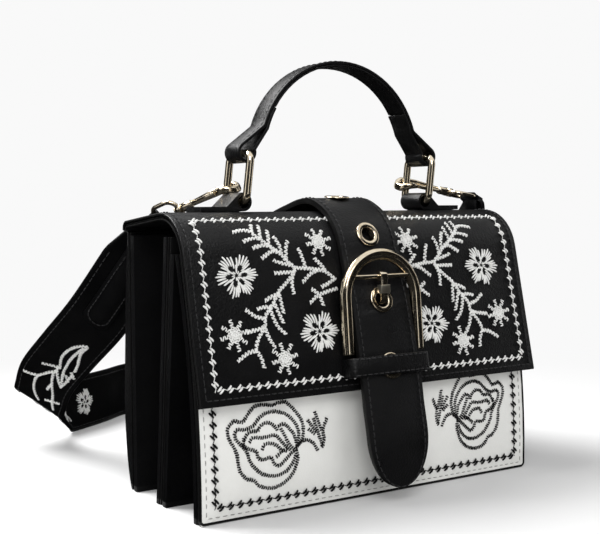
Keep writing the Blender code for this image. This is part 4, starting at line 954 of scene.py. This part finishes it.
def build_embroidery():
    sprig = []
    for path in SPRIG:
        sprig += zigzag(smooth(path, 6), 2.15, 1.0)
    strokes = sprig + mirrored(sprig, 2.2)
    for x, up, radius in ((-85.8, 66.6, 13.2), (-38.7, 33.9, 12.9), (84.0, 66.0, 13.2),
                          (39.5, 33.2, 12.9)):
        bloom = flower((-abs(x), up), radius)
        strokes += bloom if x < 0 else mirrored(bloom)
    for centre in ((-32.0, 83.5), (-91.0, 35.6), (-62.6, 21.0), (29.5, 83.0), (92.0, 36.2),
                   (61.2, 21.6)):
        strokes += floret(centre, 8.2)
    strokes += double_border(FLAP_BORDER, 5.55)
    stitches("flap_embroidery", "white_thread", "flap", strokes, on_flap, 0.43,
             snap="flap_leather")

    near, far = [], []
    for path in PEONY:
        near += zigzag(smooth(path, 6), 2.05, 1.3, lean=0.08)
        path = [(96 - (96 - abs(x)) * 0.895, z + 2.8) for x, z in path]
        far += zigzag(smooth(path, 6), 2.05, 1.3, lean=0.08, slope=-0.2)
    border = [(a, b, share * 1.05) for a, b, share in double_border(FRONT_BORDER, 5.7, 1.08)]
    stitches("front_embroidery", "black_thread", "bag", near + far + border, on_front, 0.42,
             snap="front_panel")


def build_seams():
    stitches("front_seam", "grey_thread", "bag",
             side_seams(three_sides(109.2, FRONT_TOP, 3.6), 40, 4.4, 2.6), on_front, 0.24,
             sink=0.7, snap="front_panel")

    def on_rim(x, z):
        return np.array(on_front(x, z)[0]) / MM + (0, 0.45, 0)

    edge = [on_rim(*spot) for spot in rounded(three_sides(PANEL_HALF, FRONT_TOP, 0.9), [2.2], 6)]
    sides = []
    for start, end in zip(edge, edge[1:]):
        steps = max(1, int(np.linalg.norm(end - start) / 6))
        sides += [on_rim(*(start + (end - start) * step / steps)[::2]) for step in range(steps)]
    settle(tube("front_panel_rim", sides + edge[-1:], 0.85), "edge_paint", "bag")

    stitches("flap_seam", "seam_thread", "flap",
             side_seams(three_sides(111.6, 150.0, 3.4), 60, 3.8, 2.9), on_flap, 0.3,
             snap="flap_leather")
    rim = [(-108.5, 5.0), (108.5, 5.0), (108.5, 145.0), (-108.5, 145.0), (-108.5, 5.0)]
    stitches("back_seam", "seam_thread", "bag", side_seams(rim, 60, 3.8, 2.9), on_back, 0.3)

    top = BELT_FACE.total - 3.0
    half, start = BELT_HALF - BELT_MARGIN, BELT_TIP
    outline = [(half, up) for up in np.linspace(top, start, 70)]
    outline += [(half * math.cos(angle), start - (start - BELT_MARGIN) * math.sin(angle))
                for angle in np.linspace(0, math.pi, 30)[1:-1]]
    outline += [(-half, up) for up in np.linspace(start, top, 70)] + [(half, top)]
    stitches("belt_seam", "seam_thread", "flap", running(outline, 3.9, 3.0), on_belt, 0.32,
             snap="belt")

    strokes = [((x - 1.3, edge), (x + 1.3, edge), 1.0)
               for x in np.arange(-24.0, 24.1, 3.6) for edge in (-4.3, 4.3)]
    stitches("keeper_seam", "seam_thread", "flap", strokes, on_keeper, 0.3)

    seam = []
    for y in (-6.0, 6.0):
        seam += running(straight((y, 10), (y, HANDLE_FACE.total - 10), 80), 3.7, 2.8)
    stitches("handle_seam", "seam_thread", "handle", seam, on_handle, 0.22, sink=0.9,
             snap="handle_strap")


# Metal
def build_rings():
    half = RING_WIDTH / 2
    for side, label in ((-1, "left"), (1, "right")):
        loop = rounded([(-half, 0), (half, 0), (half, RING_HEIGHT), (-half, RING_HEIGHT)],
                       [RING_RADIUS], 12, closed=True)
        points = [(side * RING_X + up * math.sin(RING_LEAN), RING_Y + y,
                   RING_Z + up * math.cos(RING_LEAN)) for y, up in loop]
        ring = tube("ring_%s_wire" % label, points, RING_WIRE, cyclic=True, fine=9)
        settle(ring, "gold", "ring_" + label, "ring_" + label)


class Hook:
    """Directions of a snap hook: along it, across it, and across its swivel's loop."""

    def __init__(self, origin, run, across, loop_across, tip, curl):
        self.origin, self.run, self.across = np.array(origin), np.array(run), np.array(across)
        self.loop_across, self.plane = np.array(loop_across), np.cross(run, across)
        self.tip, self.curl = tip, curl

    def at(self, along_run, aside=0.0, beside_loop=0.0):
        return (self.origin + self.run * along_run + self.across * aside
                + self.loop_across * beside_loop)

    def bent(self, point):
        """The claw's end curls down round the ring's leg."""
        past = max(0.0, CLAW_CURL_FROM - (point - self.origin).dot(self.run))
        return point - self.plane * math.copysign(self.curl * past * past, self.plane[2])


HOOKS = {"left": Hook((-63.464, 14.6, 173.909), (-0.42076, 0.84023, -0.34202),
                      (0.82405, 0.51165, 0.24321), (0.721808, 0.081709, -0.687246), 4.943, 0.053),
         "right": Hook((65.962, 14.6, 177.383), (0.98541, 0, -0.17021),
                       (0.04405, 0.96593, 0.25504), (0, -1, 0), 4.555, 0.07)}


def build_hooks():
    neck, collar, post = HOOK_NECK, COLLAR_RADIUS, HOOK_COLLAR + SWIVEL_LENGTH + 0.6
    neck_profile = [(0.01, neck - 0.8), (collar * 0.75, neck - 0.6), (collar * 0.92, neck + 0.6),
                    (collar * 0.88, neck + 3.4), (collar, HOOK_COLLAR - 1.0),
                    (collar * 0.85, HOOK_COLLAR), (POST_RADIUS, HOOK_COLLAR),
                    (POST_RADIUS, post), (POST_HEAD, post), (POST_HEAD * 0.95, post + 0.7),
                    (POST_HEAD * 0.6, post + 1.1), (0.01, post + 1.2)]
    low = HOOK_COLLAR + 0.3
    middle, high, far = low + SWIVEL_LENGTH / 2, low + SWIVEL_LENGTH, HOOK_COLLAR + LOOP_REACH
    barrel_profile = [(1.5, low), (collar - 0.3, low), (collar, low + 0.4),
                      (collar, high - 0.4), (collar - 0.3, high), (1.5, high)]
    for label, hook in HOOKS.items():
        at = hook.at
        claw = rounded([at(HOOK_NOSE, -HOOK_HALF), at(-hook.tip, -HOOK_HALF),
                        at(-hook.tip, HOOK_HALF), at(HOOK_SHOULDER, HOOK_HALF),
                        at(neck + HOOK_WIRE, collar / 2)],
                       [HOOK_CORNER, HOOK_CORNER, HOOK_HALF], 12)
        claw = [hook.bent(point) for point in claw]
        wire = band("hook_%s_claw" % label, claw, hook.plane, CLAW_WIDTHS, HOOK_WIRE * 2)
        settle(wire, "gold", "hook_" + label, "hook_" + label)
        settle(lathe("hook_%s_neck" % label, neck_profile, at(0), hook.run), "gold",
               "hook_" + label)
        gate = rounded([at(GATE_PIVOT + GATE_WIRE, -GATE_OFFSET),
                        at(GATE_PIVOT - GATE_WIRE, -GATE_OFFSET),
                        at(HOOK_SHOULDER, -HOOK_HALF), at(HOOK_NOSE + 0.9, -HOOK_HALF)],
                       [GATE_WIRE * 2, HOOK_HALF], 10)
        lever = tube("gate_%s_lever" % label, gate, GATE_WIRE)
        settle(lever, "gold", "gate_" + label, "gate_" + label)
        path = rounded([at(reach, 0, beside) for reach, beside in (
            (middle, -1.8), (middle, -LOOP_HALF), (far, -LOOP_HALF), (far, LOOP_HALF),
            (middle, LOOP_HALF), (middle, 1.8))], [6.0, LOOP_RADIUS, LOOP_RADIUS, 6.0], 12)
        loop = tube("swivel_%s_loop" % label, path, LOOP_WIRE * 0.9, fine=7)
        settle(loop, "gold", "swivel_" + label, "swivel_loop_" + label)
        settle(lathe("swivel_%s_barrel" % label, barrel_profile, at(0), hook.run), "gold",
               "swivel_" + label)


def build_grommets():
    hole, rim, flat = GROMMET_HOLE, GROMMET_RADIUS, 0.45
    profile = [(hole, -BELT_THICK), (hole, flat)]
    for angle in np.radians(np.linspace(180, 0, 11)[1:-1]):
        profile.append((hole + (rim - hole) * (1 + math.cos(angle)) / 2,
                        flat + (GROMMET_FLANGE + 0.1 - flat) * math.sin(angle) ** 0.7))
    profile += [(rim, 0.3), (hole + 0.8, 0.3), (hole + 0.8, -BELT_THICK)]
    for number, (seat, normal) in enumerate(GROMMETS, 1):
        item = lathe("grommet_%d_eyelet" % number, profile, (0, *seat), (0, *normal), 64)
        settle(item, "gold", "flap", "grommet_%d" % number)


def build_buckle():
    """Arched frame with a shallow groove, closed feet and the prong's bar."""
    foot, head = np.array((BUCKLE_FOOT, BUCKLE_HEAD))
    up = unit(head - foot)
    out = np.array([-up[1], up[0]])

    def world(x, rise, forward):
        return mm(x, *(foot + up * rise + out * forward))

    radius, middle = BUCKLE_RADIUS, np.linalg.norm(head - foot) - BUCKLE_RADIUS
    arch = straight((-radius, 0.0), (-radius, middle), 8)[:-1]
    arch += [np.array([radius * math.cos(angle), middle + radius * math.sin(angle)])
             for angle in np.radians(np.linspace(180, 0, 49))]
    arch += straight((radius, middle), (radius, 0.0), 8)[1:]
    section = [[a * BUCKLE_WIRE, b * BUCKLE_WIRE * 0.92] for a, b in superellipse(32, 0.82)]
    for point in section:
        if point[1] > 0 and 0.70 < abs(point[0]) / BUCKLE_WIRE < 0.86:
            point[1] -= 0.35
    rings = []
    for index, point in enumerate(arch):
        ahead = unit(arch[min(index + 1, len(arch) - 1)] - arch[max(index - 1, 0)])
        aside = np.array([ahead[1], -ahead[0]])
        if 0 < index < len(arch) - 1:
            rings.append([world(*(point + aside * a), b) for a, b in section])
            continue
        inward = ahead if index == 0 else -ahead
        ends = [[world(*(point + inward * step + aside * a * share), b * share)
                 for a, b in section]
                for step, share in ((0.0, 0.90), (0.22, 0.99), (0.30, 1.0), (0.9, 1.0))]
        rings += ends if index == 0 else ends[::-1]
    settle(loft("buckle_arch", rings), "gold", "flap", "buckle_frame")
    reach = math.sqrt(radius ** 2 - (BUCKLE_BAR_UP - middle) ** 2)
    bar = [np.array(world(x, BUCKLE_BAR_UP, BUCKLE_BAR_FORWARD)) / MM
           for x in np.linspace(-reach, reach, 12)]
    settle(tube("buckle_bar", bar, BUCKLE_BAR, fine=7), "gold", "flap")


def build_small_metal():
    for node, look, width in (("prong", "gold", 0.3), ("prong_sleeve", "pale_gold", 0.25),
                              ("buckle_base_bar", "gold", 0.3), ("magnet_stud", "pale_gold", 0.3),
                              ("magnet_socket", "pale_gold", 0.3)):
        dressed(node, look, width)


place_camera()
light_scene()
make_floor()
for number, bearing in enumerate(np.radians((-135, -50, 40, 130)), 1):
    dark_card("card_%d" % number, (1.6 * math.cos(bearing), 1.6 * math.sin(bearing), 0.60),
              2.2, 1.4)
dark_card("card_floor", (0, 0, 0.003), 2.8, 2.8)
build_leather()
build_strap()
build_strap_embroidery()
build_embroidery()
build_seams()
build_rings()
build_hooks()
build_grommets()
build_buckle()
build_small_metal()

bpy.context.scene.view_settings.view_transform = "Standard"
bpy.context.view_layer.update()
